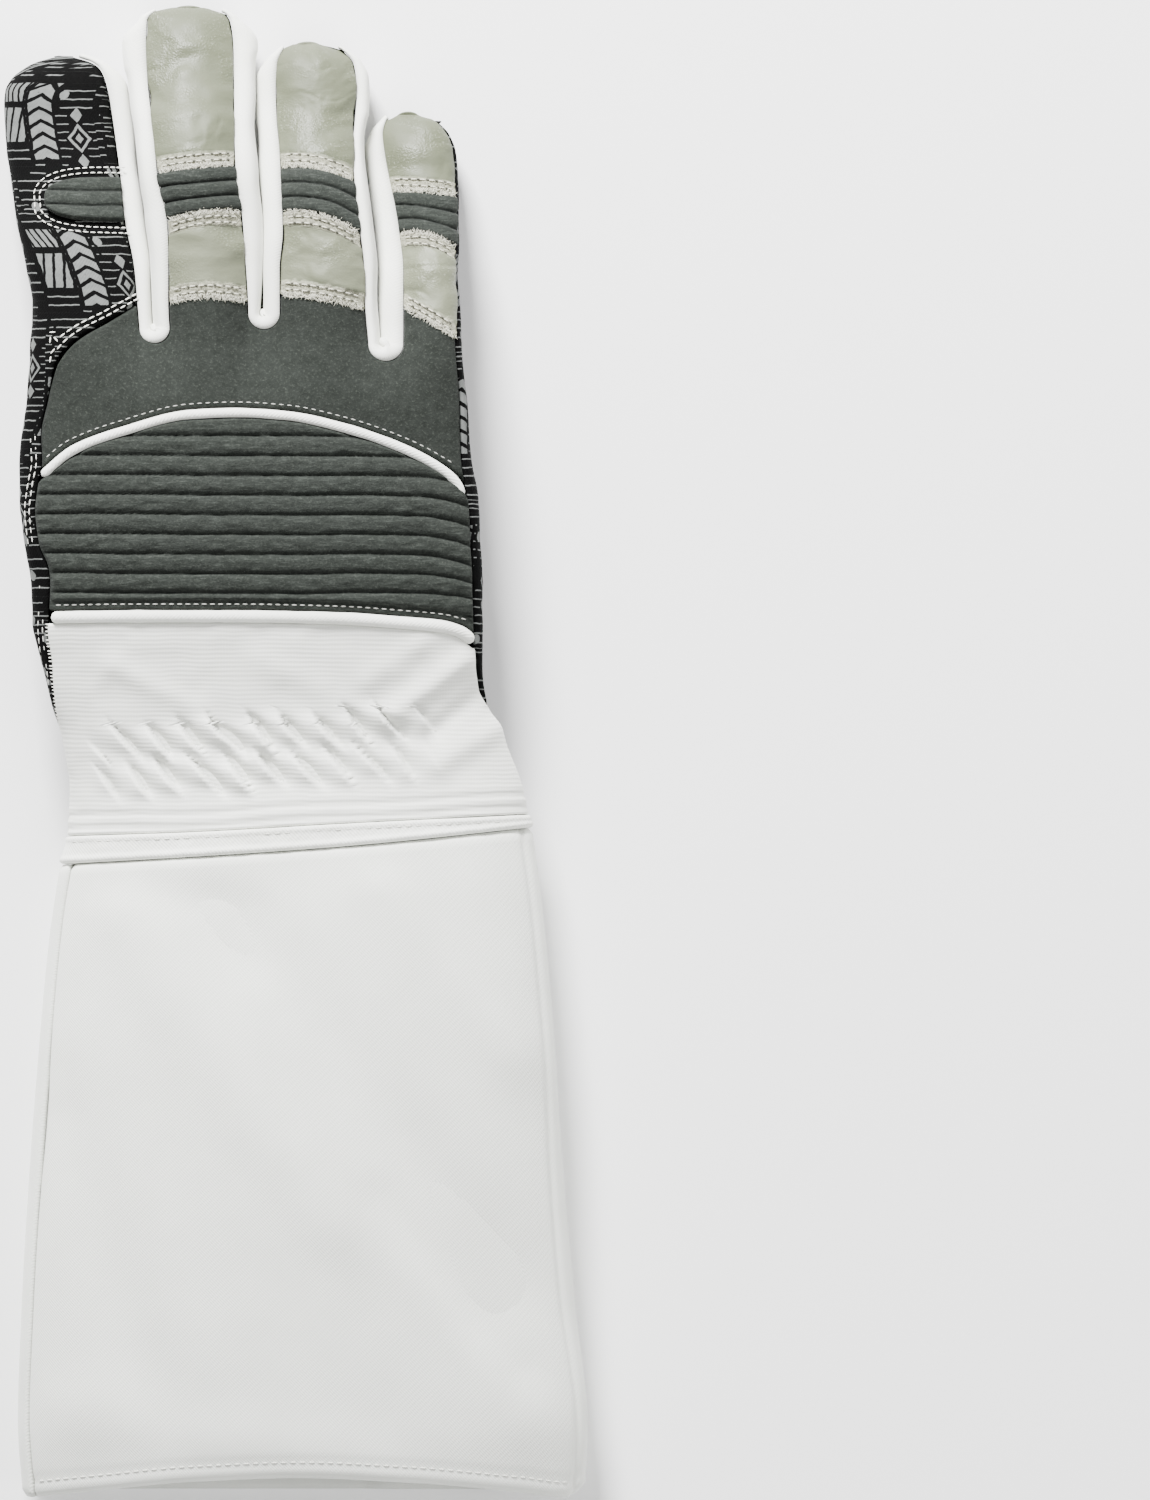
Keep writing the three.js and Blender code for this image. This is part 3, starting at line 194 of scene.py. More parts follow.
def finger_heights(i, f, y):
    s = np.clip((TIPS[i] - y) / TIP_LENGTH, 0, 1)
    half = np.maximum(TIP_HALF, FINGER_HALF[i] * np.sqrt(1 - (1 - s) ** 2))
    mid = droop[i](y)
    crown = 1 - (2 * f - 1) ** 2
    side = (1 - np.abs(2 * f - 1) ** FINGER_FULLNESS) ** (1 / FINGER_FULLNESS)
    over = mix(SEAM_SHARE, 1, crown)
    under = mix(UNDER_SEAM_SHARE, 1, crown)
    if i in (0, 3):
        outer = f < 0.5 if i == 0 else f > 0.5
        over = np.where(outer, side, over)
        under = np.where(outer, side, under)
    return mid - half * under, mid + half * over


def heights(x, y):
    x, y = np.broadcast_arrays(np.asarray(x, float), np.asarray(y, float))
    u, o = hand_heights(x, y)
    ks = [knot(k, y) for k in range(8)]
    seams = {k: finger_heights(k // 2, np.full_like(x, k % 2), y) for k in range(8)}
    fu, fo = np.zeros_like(x), np.zeros_like(x)
    for k in range(7):
        lo = -1e9 if k == 0 else ks[k]
        hi = 1e9 if k == 6 else ks[k + 1]
        inside = (x > lo) & (x <= hi)
        f = np.clip((x - ks[k]) / (ks[k + 1] - ks[k]), 0, 1)
        if k % 2 == 0:
            a, b = finger_heights(k // 2, f, y)
        else:
            a = mix(seams[k][0], seams[k + 1][0], f)
            b = mix(seams[k][1], seams[k + 1][1], f)
        fu, fo = np.where(inside, a, fu), np.where(inside, b, fo)
    w = ease(y, BLEND_FROM, BLEND_TO)
    return floor_clamp(mix(u, fu, w)), mix(o, fo, w)


def over(x, y):
    return heights(x, y)[1]


def under(x, y):
    return heights(x, y)[0]


# Seeded noise
def lattice(seed, i, j):
    h = (i * 374761393 + j * 668265263 + seed * 2147483647) & 0xFFFFFFFF
    h = ((h ^ (h >> 13)) * 1274126177) & 0xFFFFFFFF
    return ((h ^ (h >> 16)) & 0xFFFF) / 65535.0 * 2 - 1


def noise(x, y, scale, seed):
    u, v = np.asarray(x) / scale, np.asarray(y) / scale
    i, j = np.floor(u).astype(np.int64), np.floor(v).astype(np.int64)
    a, b = u - i, v - j
    a, b = a * a * a * (a * (a * 6 - 15) + 10), b * b * b * (b * (b * 6 - 15) + 10)
    n = [[lattice(seed, i + p, j + q) for q in (0, 1)] for p in (0, 1)]
    return mix(mix(n[0][0], n[1][0], a), mix(n[0][1], n[1][1], a), b)


def fbm(x, y, scale, seed, octaves=2):
    return sum(noise(x, y, scale / 2 ** o, seed + 17 * o) / 2 ** o for o in range(octaves))


# Meshes
def unit(v):
    return v / np.linalg.norm(v, axis=-1, keepdims=True)


def to_m(p):
    return (p + np.array([MIDDLE[0], MIDDLE[1], 0.0])) / 1000.0


def cell_normals(P, mask):
    n = np.cross(P[1:, 1:] - P[:-1, :-1], P[:-1, 1:] - P[1:, :-1])
    n[~mask] = 0
    N = np.zeros_like(P)
    for part in (N[:-1, :-1], N[1:, :-1], N[1:, 1:], N[:-1, 1:]):
        part += n
    L = np.linalg.norm(N, axis=2, keepdims=True)
    return N / np.where(L == 0, 1, L)


def new_mesh(name, verts, polys, uv, mat, values):
    mesh = bpy.data.meshes.new(name)
    loops = np.concatenate([p.ravel() for p in polys]).astype(np.int32)
    counts = np.concatenate([np.full(len(p), p.shape[1]) for p in polys]).astype(np.int32)
    mesh.vertices.add(len(verts))
    mesh.vertices.foreach_set("co", verts.astype(np.float32).ravel())
    mesh.loops.add(len(loops))
    mesh.loops.foreach_set("vertex_index", loops)
    mesh.polygons.add(len(counts))
    mesh.polygons.foreach_set("loop_start", np.concatenate([[0], np.cumsum(counts)[:-1]]).astype(np.int32))
    mesh.polygons.foreach_set("loop_total", counts)
    mesh.update(calc_edges=True)
    mesh.validate()
    layer = mesh.uv_layers.new(name="UVMap")
    layer.data.foreach_set("uv", (uv[loops] / UV_SCALE).astype(np.float32).ravel())
    for key, val in values.items():
        mesh.attributes.new(key, "FLOAT", "POINT").data.foreach_set("value", val.astype(np.float32))
    mesh.polygons.foreach_set("use_smooth", np.full(len(counts), True))
    mesh.materials.append(M[mat])
    o = bpy.data.objects.new(name, mesh)
    bpy.context.scene.collection.objects.link(o)
    return o


def claim(o, node):
    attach(o, "root")
    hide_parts(*(node if isinstance(node, tuple) else (node,)))
    return o


def edge_distance(P):
    """Distance of each grid point from the sheet's four sides, along the grid."""
    du = np.linalg.norm(np.diff(P, axis=0), axis=2)
    dv = np.linalg.norm(np.diff(P, axis=1), axis=2)
    cu = np.concatenate([np.zeros((1, P.shape[1])), np.cumsum(du, 0)])
    cv = np.concatenate([np.zeros((P.shape[0], 1)), np.cumsum(dv, 1)], 1)
    return cu, cu[-1:] - cu, cv, cv[:, -1:] - cv


def rounded(d, r):
    """Drop of a soft edge at distance d from it."""
    t = np.clip(1 - d / r, 0, 1)
    return r * (1 - np.sqrt(np.clip(1 - t * t, 0, 1)))


def sheet_piece(name, P, wall, mat, node, slot, shift=0.0, lift=0.0, mask=None, flip=False, uv=None,
                values=None, edge=0.7):
    """Thick sheet over the grid P, with soft edges; lift moves its outer face, shift both faces."""
    values = values or {}
    if flip:
        P, lift, shift, mask, uv = (a[::-1] if isinstance(a, np.ndarray) else a for a in (P, lift, shift,
                                    mask, uv))
        values = {k: v[::-1] for k, v in values.items()}
    if mask is None:
        mask = np.ones((P.shape[0] - 1, P.shape[1] - 1), bool)
    N = cell_normals(P, mask)
    ds = edge_distance(P)
    drop = np.minimum(sum(rounded(d, edge) for d in ds), wall * 0.8)
    shape, n = P.shape[:2], P.shape[0] * P.shape[1]
    out = P + N * np.broadcast_to(shift + lift - drop, shape)[..., None]
    inn = P + N * np.broadcast_to(shift - wall, shape)[..., None]
    ids = np.arange(n).reshape(shape)
    cells = np.stack([ids[:-1, :-1], ids[1:, :-1], ids[1:, 1:], ids[:-1, 1:]], -1)[mask]
    m, rim = np.pad(mask, 1), []
    for beyond, a, b in ((m[:-2, 1:-1], (0, 1), (0, 0)), (m[2:, 1:-1], (1, 0), (1, 1)),
                         (m[1:-1, :-2], (0, 0), (1, 0)), (m[1:-1, 2:], (1, 1), (0, 1))):
        i, j = np.nonzero(mask & ~beyond)
        p, q = ids[i + a[0], j + a[1]], ids[i + b[0], j + b[1]]
        rim.append(np.stack([p + n, q + n, q, p], -1))
    polys = [cells, cells[:, ::-1] + n, np.concatenate(rim)]
    verts = np.concatenate([out.reshape(-1, 3), inn.reshape(-1, 3)])
    verts[:, 2] = np.maximum(verts[:, 2], FLOOR_CLEAR)
    uvs = np.concatenate([(P[..., :2] if uv is None else uv).reshape(-1, 2)] * 2)
    vals = dict(values, rim=np.minimum.reduce(ds))
    used = np.zeros(2 * n, bool)
    for p in polys:
        used[p.ravel()] = True
    remap = np.cumsum(used) - 1
    o = new_mesh(name, to_m(verts[used]), [remap[p] for p in polys], uvs[used], mat,
                 {k: np.concatenate([v.ravel()] * 2)[used] for k, v in vals.items()})
    return claim(o, node)


def capsules(name, c, t, n, length, radius, mat, node, flat=0.8, rings=5, sides=6):
    """Many small rounded stitches in one mesh, with centres c, directions t and normals n."""
    t = unit(t)
    n = unit(n - t * np.sum(n * t, 1, keepdims=True))
    b = np.cross(n, t)
    m = len(c)
    length = np.broadcast_to(length, m)[:, None, None, None]
    s = np.linspace(-1, 1, rings)
    w = np.sqrt(np.clip(1 - (np.abs(s) * 0.93) ** 2.4, 0, 1))[:, None]
    i, j = np.arange(sides), (np.arange(sides) + 1) % sides
    a = i / sides * 2 * math.pi
    c, t, n, b = (v[:, None, None, :] for v in (c, t, n, b))
    V = (c + s[None, :, None, None] * length / 2 * t + (w * np.cos(a))[None, :, :, None] * radius * b
         + (w * np.sin(a))[None, :, :, None] * radius * flat * n)
    V[..., 2] = np.maximum(V[..., 2], FLOOR_CLEAR)
    base = np.arange(m)[:, None, None] * rings * sides
    k = np.arange(rings - 1)[:, None] * sides
    q = np.stack([k + i, k + j, k + sides + j, k + sides + i], -1).reshape(1, -1, 4)
    caps = [(row[None] + base[:, 0]).reshape(-1, sides) for row in (i[::-1], i + (rings - 1) * sides)]
    uv = np.tile(np.stack([np.tile(i, rings) * 0.3, np.repeat(s, sides)], -1), (m, 1))
    o = new_mesh(name, to_m(V.reshape(-1, 3)), [(q + base).reshape(-1, 4)] + caps, uv, mat, {})
    return claim(o, node)


def top_at(x, y):
    return np.stack([x, y, over(x, y)], -1)


def palm_at(x, y):
    return np.stack([x, y, under(x, y)], -1)


def surface_frame(x, y):
    """Points of the upper surface, and its normals there."""
    e = 0.3
    zx = (over(x + e, y) - over(x - e, y)) / (2 * e)
    zy = (over(x, y + e) - over(x, y - e)) / (2 * e)
    return top_at(x, y), unit(np.stack([-zx, -zy, np.ones_like(zx)], -1))


def stitches_on(name, at, paths, mat, node, slot, pitch, length, radius, rise, outward=1.0, across=False,
                start=0.5, steps=(0.3, 0.3), jitter=0.0, rings=5):
    """Stitches along paths of a surface; at(p, q) gives its points, outward the side of its normal."""
    C, A, N = [], [], []
    rng = np.random.default_rng(1)
    for p, q in paths:
        p, q = np.broadcast_arrays(np.asarray(p, float), np.asarray(q, float))
        c = np.concatenate([[0], np.cumsum(np.linalg.norm(np.diff(at(p, q), axis=0), axis=1))])
        t = np.arange(start * pitch, c[-1] - 0.3 * pitch, pitch)
        t = t + rng.uniform(-jitter, jitter, len(t))

        def spot(v):
            return np.interp(v, c, p), np.interp(v, c, q)
        a, b = spot(t)
        da, db = steps
        n = unit(np.cross(at(a + da, b) - at(a - da, b), at(a, b + db) - at(a, b - db)) * outward)
        d = at(*spot(t + 0.4)) - at(*spot(t - 0.4))
        C.append(at(a, b) + n * rise)
        A.append(np.cross(n, d) if across else d)
        N.append(n)
    C, A, N = (np.concatenate(v) for v in (C, A, N))
    return capsules(name, C, A, N, length, radius, mat, node, rings=rings)


# Materials
def material(name):
    m = bpy.data.materials.new(name)
    m.use_nodes = True
    nt = m.node_tree
    nt.nodes.clear()
    out = nt.nodes.new("ShaderNodeOutputMaterial")
    bsdf = nt.nodes.new("ShaderNodeBsdfPrincipled")
    nt.links.new(bsdf.outputs[0], out.inputs[0])
    return m, nt, bsdf


def srgb(colour):
    """Linear colour with alpha from sRGB values of 0 to 255."""
    share = [c / 255.0 for c in colour]
    return tuple(c / 12.92 if c <= 0.04045 else ((c + 0.055) / 1.055) ** 2.4 for c in share) + (1.0,)


class Value:
    """A shader output, with arithmetic."""

    def __init__(self, graph, socket):
        self.graph, self.socket = graph, socket

    def __add__(self, other):
        return self.graph.math("ADD", self, other)

    def __sub__(self, other):
        return self.graph.math("SUBTRACT", self, other)

    def __rsub__(self, other):
        return self.graph.math("SUBTRACT", other, self)

    def __mul__(self, other):
        return self.graph.math("MULTIPLY", self, other)

    def __truediv__(self, other):
        return self.graph.math("DIVIDE", self, other)


class Graph:
    """Short helpers for building a shader; u, v and mm are the UV in millimetres."""

    def __init__(self, name):
        self.material, self.nt, self.bsdf = material(name)
        uv = self.node("UVMap", uv_map="UVMap")
        self.mm = self.node("VectorMath", {0: uv, "Scale": UV_SCALE}, operation="SCALE")
        self.u, self.v = (self.node("SeparateXYZ", (self.mm,), i) for i in (0, 1))

    def put(self, socket, value):
        if isinstance(value, Value):
            self.nt.links.new(value.socket, socket)
        else:
            socket.default_value = value

    def node(self, kind, inputs=(), output=0, **settings):
        n = self.nt.nodes.new("ShaderNode" + kind)
        for key, value in settings.items():
            setattr(n, key, value)
        for key, value in inputs.items() if isinstance(inputs, dict) else enumerate(inputs):
            self.put(n.inputs[key], value)
        return Value(self, n.outputs[output])

    def math(self, op, a, b=0.0):
        return self.node("Math", (a, b), operation=op)

    def sine(self, a):
        return self.math("SINE", a)

    def fract(self, a):
        return self.math("FRACT", a)

    def noise(self, scale, detail=2.0, rough=0.5, stretch=(1, 1, 1)):
        at = self.node("Mapping", {0: self.mm, "Scale": stretch})
        return self.node("TexNoise", {"Vector": at, "Scale": scale, "Detail": detail, "Roughness": rough})

    def voronoi(self, scale):
        return self.node("TexVoronoi", {"Vector": self.mm, "Scale": scale})

    def attr(self, name):
        return self.node("Attribute", output="Fac", attribute_name=name)

    def span(self, value, a, b, c=0.0, d=1.0, kind="LINEAR"):
        return self.node("MapRange", (value, a, b, c, d), interpolation_type=kind)

    def smooth(self, value, a, b):
        return self.span(value, a, b, kind="SMOOTHSTEP")

    def mix(self, f, a, b):
        a, b = (srgb(c) if isinstance(c, tuple) else c for c in (a, b))
        return self.node("Mix", {"Factor": f, 6: a, 7: b}, 2, data_type="RGBA")

    def bump(self, height, distance, strength, normal=None):
        inputs = {"Strength": strength, "Distance": distance / 1000.0, "Height": height}
        if normal is not None:
            inputs["Normal"] = normal
        return self.node("Bump", inputs)

    def finish(self, colour, rough, normal, sheen, specular):
        for key, value in {"Base Color": colour, "Roughness": rough, "Normal": normal,
                           "Specular IOR Level": specular, "Sheen Weight": sheen,
                           "Sheen Roughness": 0.5}.items():
            self.put(self.bsdf.inputs[key], value)
        return self.material


def leather_material(name, lo, hi):
    g = Graph(name)
    grain, fuzz = g.voronoi(2.1), g.noise(1.9, 4, 0.75)
    fine, broad = g.noise(1.7, 3, 0.6), g.noise(0.06, 2, 0.5)
    zone = g.smooth(g.noise(0.075, 2, 0.5, (1.0, 1.3, 1)), 0.42, 0.62)
    soft = g.noise(0.3, 3, 0.55, (0.8, 1.3, 1))
    worn = g.attr("suede")
    col = g.mix(broad, lo, hi)
    # Painted highlight: pale flecks in the glossy zone stand in for small glints
    col = g.mix(g.span(fine, 0.56, 0.72) * (zone * 0.3), col, (182, 184, 172))
    pale = g.mix(g.span(fuzz, 0.34, 0.66), (122, 122, 102), (188, 187, 168))
    n = g.bump(grain * g.span(zone, 0.0, 1.0, 0.25, 1.0), 0.12, 0.5)
    n = g.bump(fine * zone, 0.28, 0.5, n)
    n = g.bump(soft, 0.5, 0.35, n)
    n = g.bump(fuzz * worn, 1.0, 0.9, n)
    rough = g.span(zone, 0.0, 1.0, 0.58, 0.38) + worn * 0.5
    return g.finish(g.mix(worn, col, pale), rough, n, 0.0, 0.34)


def neoprene_material(name, lo, hi, dark):
    g = Graph(name)
    mott, grain = g.noise(0.35, 4, 0.7), g.noise(1.3, 4, 0.85)
    streak = g.noise(1.1, 4, 0.75, (0.25, 1.5, 1))
    col = g.mix(g.span(mott, 0.35, 0.65), lo, hi)
    col = g.mix(g.span(grain, 0.53, 0.7, 0.0, 0.5), col, (76, 80, 74))
    col = g.mix(g.span(grain, 0.46, 0.28, 0.0, 0.55), col, (28, 31, 29))
    if dark:
        col = g.mix(g.span(streak, 0.52, 0.75, 0.0, 0.45), col, (82, 87, 82))
        col = g.mix(g.span(streak, 0.46, 0.26, 0.0, 0.45), col, (28, 31, 29))
        # Painted shade: the groove attribute darkens the colour in the recesses between the ribs
        col = g.mix(g.attr("groove"), col, (18, 20, 19))
    n = g.bump(grain + g.voronoi(1.9) * 0.3, 0.3, 0.7)
    n = g.bump(streak if dark else mott, 0.3, 0.4, n)
    return g.finish(col, 0.92, n, 0.02, 0.1)


def knit_material(name):
    """White stretch knit with fine cross ribs."""
    g = Graph(name)
    rib = g.sine((g.v + g.noise(0.09, 2) * 1.2) * (2 * math.pi / 1.15))
    wale = g.sine(g.u * (2 * math.pi / 0.75))
    h = rib * 0.75 + wale * 0.16 + g.noise(2.6, 3, 0.7) * 0.6
    col = g.mix(g.span(h, -0.6, 0.9), (226, 227, 220), (239, 240, 234))
    # Painted shade: the crease attribute greys the knit where the wrist puckers fold in
    col = g.mix(g.attr("crease") * 0.55, col, (158, 160, 154))
    h = h * g.span(g.noise(0.05, 2), 0.3, 0.7, 0.4, 1.0)
    return g.finish(col, 0.85, g.bump(h, 0.12, 0.3), 0.1, 0.25)


def plain_cloth(name, lo, hi, pitch, depth, strength):
    g = Graph(name)
    k = 2 * math.pi / pitch * 0.7071
    fine, broad = g.noise(1.9, 3, 0.7), g.noise(0.05, 3, 0.5)
    h = g.sine((g.u + g.v) * k) * 0.5 + g.sine((g.u - g.v) * (k * 0.5)) * 0.25 + fine
    col = g.mix(g.span(broad, 0.3, 0.7), lo, hi)
    col = g.mix(g.span(fine, 0.55, 0.8, 0.0, 0.25), col, (196, 198, 190))
    return g.finish(col, 0.86, g.bump(h, depth, strength), 0.2, 0.28)


TILE_WIDE, TILE_HIGH = 27.0, 38.0


def print_material(name):
    """Black cloth with a generic grip print: chevron stacks, slanted bars, thin lines, diamonds."""
    g = Graph(name)
    u = g.u + (g.noise(0.35, 2, 0.6) - 0.5) * 0.9
    v = g.v + (g.noise(0.3, 2, 0.6) - 0.5) * 0.7
    across = u / TILE_WIDE
    lane = g.math("FLOOR", across)
    a = (across - lane) * TILE_WIDE
    c = g.fract((v + g.fract(lane * 0.5) * (TILE_HIGH * 1.13)) / TILE_HIGH) * TILE_HIGH

    def off(value, centre):
        return g.math("ABSOLUTE", value - centre)

    def box(cx, cy, hx, hy):
        return g.math("MAXIMUM", off(a, cx) - hx, off(c, cy) - hy)

    def bars(value, pitch, half):
        return off(g.fract(value / pitch), 0.5) * pitch - half

    def disc(cx, cy, r):
        dx, dy = a - cx, c - cy
        return g.math("SQRT", dx * dx + dy * dy) - r

    def diamond(cx, cy, r):
        return off(a, cx) + off(c, cy) * 0.8 - r
    slant = a + c * 0.35
    hatched = [
        ((14.0, 13.0, 3.1, 9.8), (c + off(a, 14.0) * 0.55, 3.3, 1.12)),
        ((22.4, 12.2, 3.6, 4.4), (slant, 2.7, 0.95)),
        ((22.4, 20.6, 3.6, 2.3), (slant - c * 0.7, 1.9, 0.62)),
        ((12.6, 31.0, 11.8, 5.0), (c, 2.45, 0.16)),
        ((4.4, 19.4, 4.2, 3.4), (c, 2.2, 0.16)),
        ((22.6, 4.0, 4.2, 2.6), (c, 2.2, 0.16)),
    ]
    shapes = [g.math("MAXIMUM", box(*place), bars(*stripes)) for place, stripes in hatched]
    shapes += [diamond(*s) for s in ((4.6, 8.6, 1.1), (4.6, 14.6, 1.5), (4.6, 2.6, 1.5))]
    shapes += [disc(*s) for s in ((6.2, 31.4, 1.35), (20.4, 28.9, 1.2), (14.8, 33.8, 1.0), (8.0, 19.8, 1.1))]
    d = g.math("ABSOLUTE", diamond(4.6, 8.6, 2.6)) - 0.42
    for other in shapes:
        d = g.math("MINIMUM", d, other)
    patchy = g.smooth(g.noise(0.13, 1, 0.5, (1.0, 0.5, 1)), 0.53, 0.55)
    thin = g.math("MAXIMUM", bars(c + lane * 0.7, 2.11, 0.14), 0.85 - d)
    d = g.math("MINIMUM", d, thin + patchy * 2.0)
    ink = (1.0 - g.smooth(d, -0.06, 0.1)) * g.smooth(g.noise(1.1, 4, 0.8), 0.27, 0.36)
    fine = g.noise(2.6, 3, 0.7)
    twill = g.sine((g.u + g.v) * (2 * math.pi / 0.8))
    cloth = g.mix(g.span(fine, 0.3, 0.7), (1, 1, 1), (10, 10, 10))
    grey = g.mix(g.noise(0.5, 3, 0.7), (76, 78, 77), (112, 114, 112))
    n = g.bump(twill * 0.25 + fine * 0.5, 0.14, 0.5)
    n = g.bump(ink, 0.25, 0.9, n)
    return g.finish(g.mix(ink, cloth, grey), 0.86 - ink * 0.36, n, 0.0, 0.05)


def pile_material(name, lo, hi, scale, depth):
    g = Graph(name)
    h = g.noise(scale * 1.3, 4, 0.8) - g.voronoi(scale) * 0.6
    return g.finish(g.mix(g.span(h, -0.2, 0.5), lo, hi), 0.95, g.bump(h, depth, 0.9), 0.5, 0.15)


def thread_material(name, lo, hi):
    g = Graph(name)
    twist = g.sine((g.u + g.v) * 9.0)
    return g.finish(g.mix(g.span(twist, -1.0, 1.0), lo, hi), 0.7, g.bump(twist, 0.06, 0.5), 0.2, 0.3)


M = {row[1]: row[0](*row[1:]) for row in [
    (leather_material, "leather", (81, 85, 67), (93, 97, 78)),
    (leather_material, "leather_pale", (95, 99, 80), (108, 111, 93)),
    (neoprene_material, "neoprene", (30, 33, 30), (38, 41, 38), False),
    (neoprene_material, "ribbed_cloth", (34, 37, 34), (42, 45, 42), True),
    (knit_material, "white_knit"),
    (plain_cloth, "side_cloth", (226, 227, 219), (238, 239, 232), 0.5, 0.10, 0.35),
    (plain_cloth, "binding", (232, 233, 225), (243, 244, 238), 0.7, 0.12, 0.5),
    (plain_cloth, "cuff", (224, 226, 219), (233, 235, 228), 0.55, 0.10, 0.4),
    (print_material, "printed_cloth"),
    (pile_material, "loop", (214, 214, 204), (238, 238, 229), 1.5, 0.45),
    (pile_material, "hook", (196, 197, 188), (232, 232, 224), 2.2, 0.5),
    (thread_material, "thread", (206, 206, 198), (238, 238, 230)),
    (thread_material, "pale_thread", (176, 174, 156), (206, 204, 188)),
    (thread_material, "dull_thread", (132, 133, 128), (190, 190, 184)),
    # Painted shade: dark colour for the capsules that stand for the needle holes
    (thread_material, "hole", (52, 52, 44), (78, 78, 66)),
    (thread_material, "fibre", (188, 186, 168), (222, 220, 204)),
]}

# Shared curves
left_table, right_seam = column(LEFT_SEAM, 1), column(RIGHT_SEAM, 1)
INDEX_FROM, KNUCKLE_LEFT_TOP = 799.2 * PL, 743 * PL
PALM_HEM, HEM_SIDE = 435.7 * PL, 5.4 * PL


def left_seam(y):
    return np.where(np.asarray(y) < INDEX_FROM, left_table(y), knot(1, y) - knot(0, y))


def root2(g):
    return np.sign(g) * np.sqrt(np.abs(g))


def square2(h):
    return np.sign(h) * h * h


piping_line, knuckle_top = column(PIPING, 1), column(KNUCKLE_TOP, 1)
binding_line, band_top, band_bottom, hem_line = (column(t, 1) for t in (BINDING, BAND_TOP, BAND_BOTTOM, HEM))


def beside(line, x, distance):
    slope = line(x + 0.5) - line(x - 0.5)
    return line(x) + distance * np.hypot(1, slope)


def palm_hem(x):
    y = PALM_HEM
    a = ease(x - knot(0, y), 0, 20 * PL)
    b = ease(knot(7, y) - x, 0, 7.4 * PL)
    return mix(449.8, mix(425.0, 435.7, a), b) * PL


GAPS = []
for _g in range(3):
    _low = CROTCHES[_g][0] * PL
    _r = float(knot(2 * _g + 2, _low + 4) - knot(2 * _g + 1, _low + 4)) / 2
    _y = _low + _r
    GAPS.append((float(knot(2 * _g + 1, _y) + knot(2 * _g + 2, _y)) / 2, _y, _r))


def gap_bottom(g, x):
    gx, gy, r = GAPS[g]
    return gy - r * np.sqrt(np.clip(1 - ((x - gx) / r) ** 2, 0, 1))


def crotch_line(k, share):
    if k == 0:
        return GAPS[0][1]
    if k == 6:
        return GAPS[2][1]
    if k % 2 == 0:
        return mix(GAPS[k // 2 - 1][1], GAPS[k // 2][1], share)
    gx, _, r = GAPS[k // 2]
    return float(gap_bottom(k // 2, gx - r + 2 * r * share))


def edge_angle(side, g, y):
    a = np.sign(g) * np.arccos(np.clip(1 - 2 * np.abs(g) / (knot(7, y) - knot(0, y)), -1, 1))
    return a if side < 0 else math.pi - a


def ring_point(angle, y):
    x = knot(0, y) + (knot(7, y) - knot(0, y)) * (1 - np.cos(angle)) / 2
    u, o = heights(x, y)
    return np.stack(np.broadcast_arrays(x, y, np.where(np.sin(angle) >= 0, o, u)), -1)


def grid(nu, nv):
    """Shares across and along a sheet of nu by nv cells."""
    return np.linspace(0, 1, nu + 1)[:, None], np.linspace(0, 1, nv + 1)[None]


def plan_columns(counts):
    plan = []
    for k, n in enumerate(counts):
        for i in range(n):
            t = i / n
            plan.append((k, (1 - math.cos(math.pi * t)) / 2 if k % 2 else t))
    plan.append((len(counts) - 1, 1.0))
    return plan


def arc_uv(P, anchor):
    """UV in millimetres: arc length across from an anchor column, y along."""
    du = np.linalg.norm(np.diff(P, axis=0), axis=2)
    c = np.concatenate([np.zeros((1, P.shape[1])), np.cumsum(du, 0)])
    c = c - c[anchor][None]
    return np.stack([P[anchor, :, 0][None] + c, np.broadcast_to(P[..., 1], c.shape)], -1)


# Palm cloth
SG = 0.18  # width of the visible seam gaps
SPLIT = 20 * PL  # width of the edge strip that the palm cloth keeps on each side


def split_at(y, a, b):
    return np.minimum(SPLIT, 0.3 * (knot(b, y) - knot(a, y)))


def tip_arch(i, s):
    """End of a finger's cloth across its width: round, and a little past the seam's end."""
    return TIPS[i] + (0.7 - 2.0 * np.abs(2 * s - 1) ** 2.2) * (i > 0)


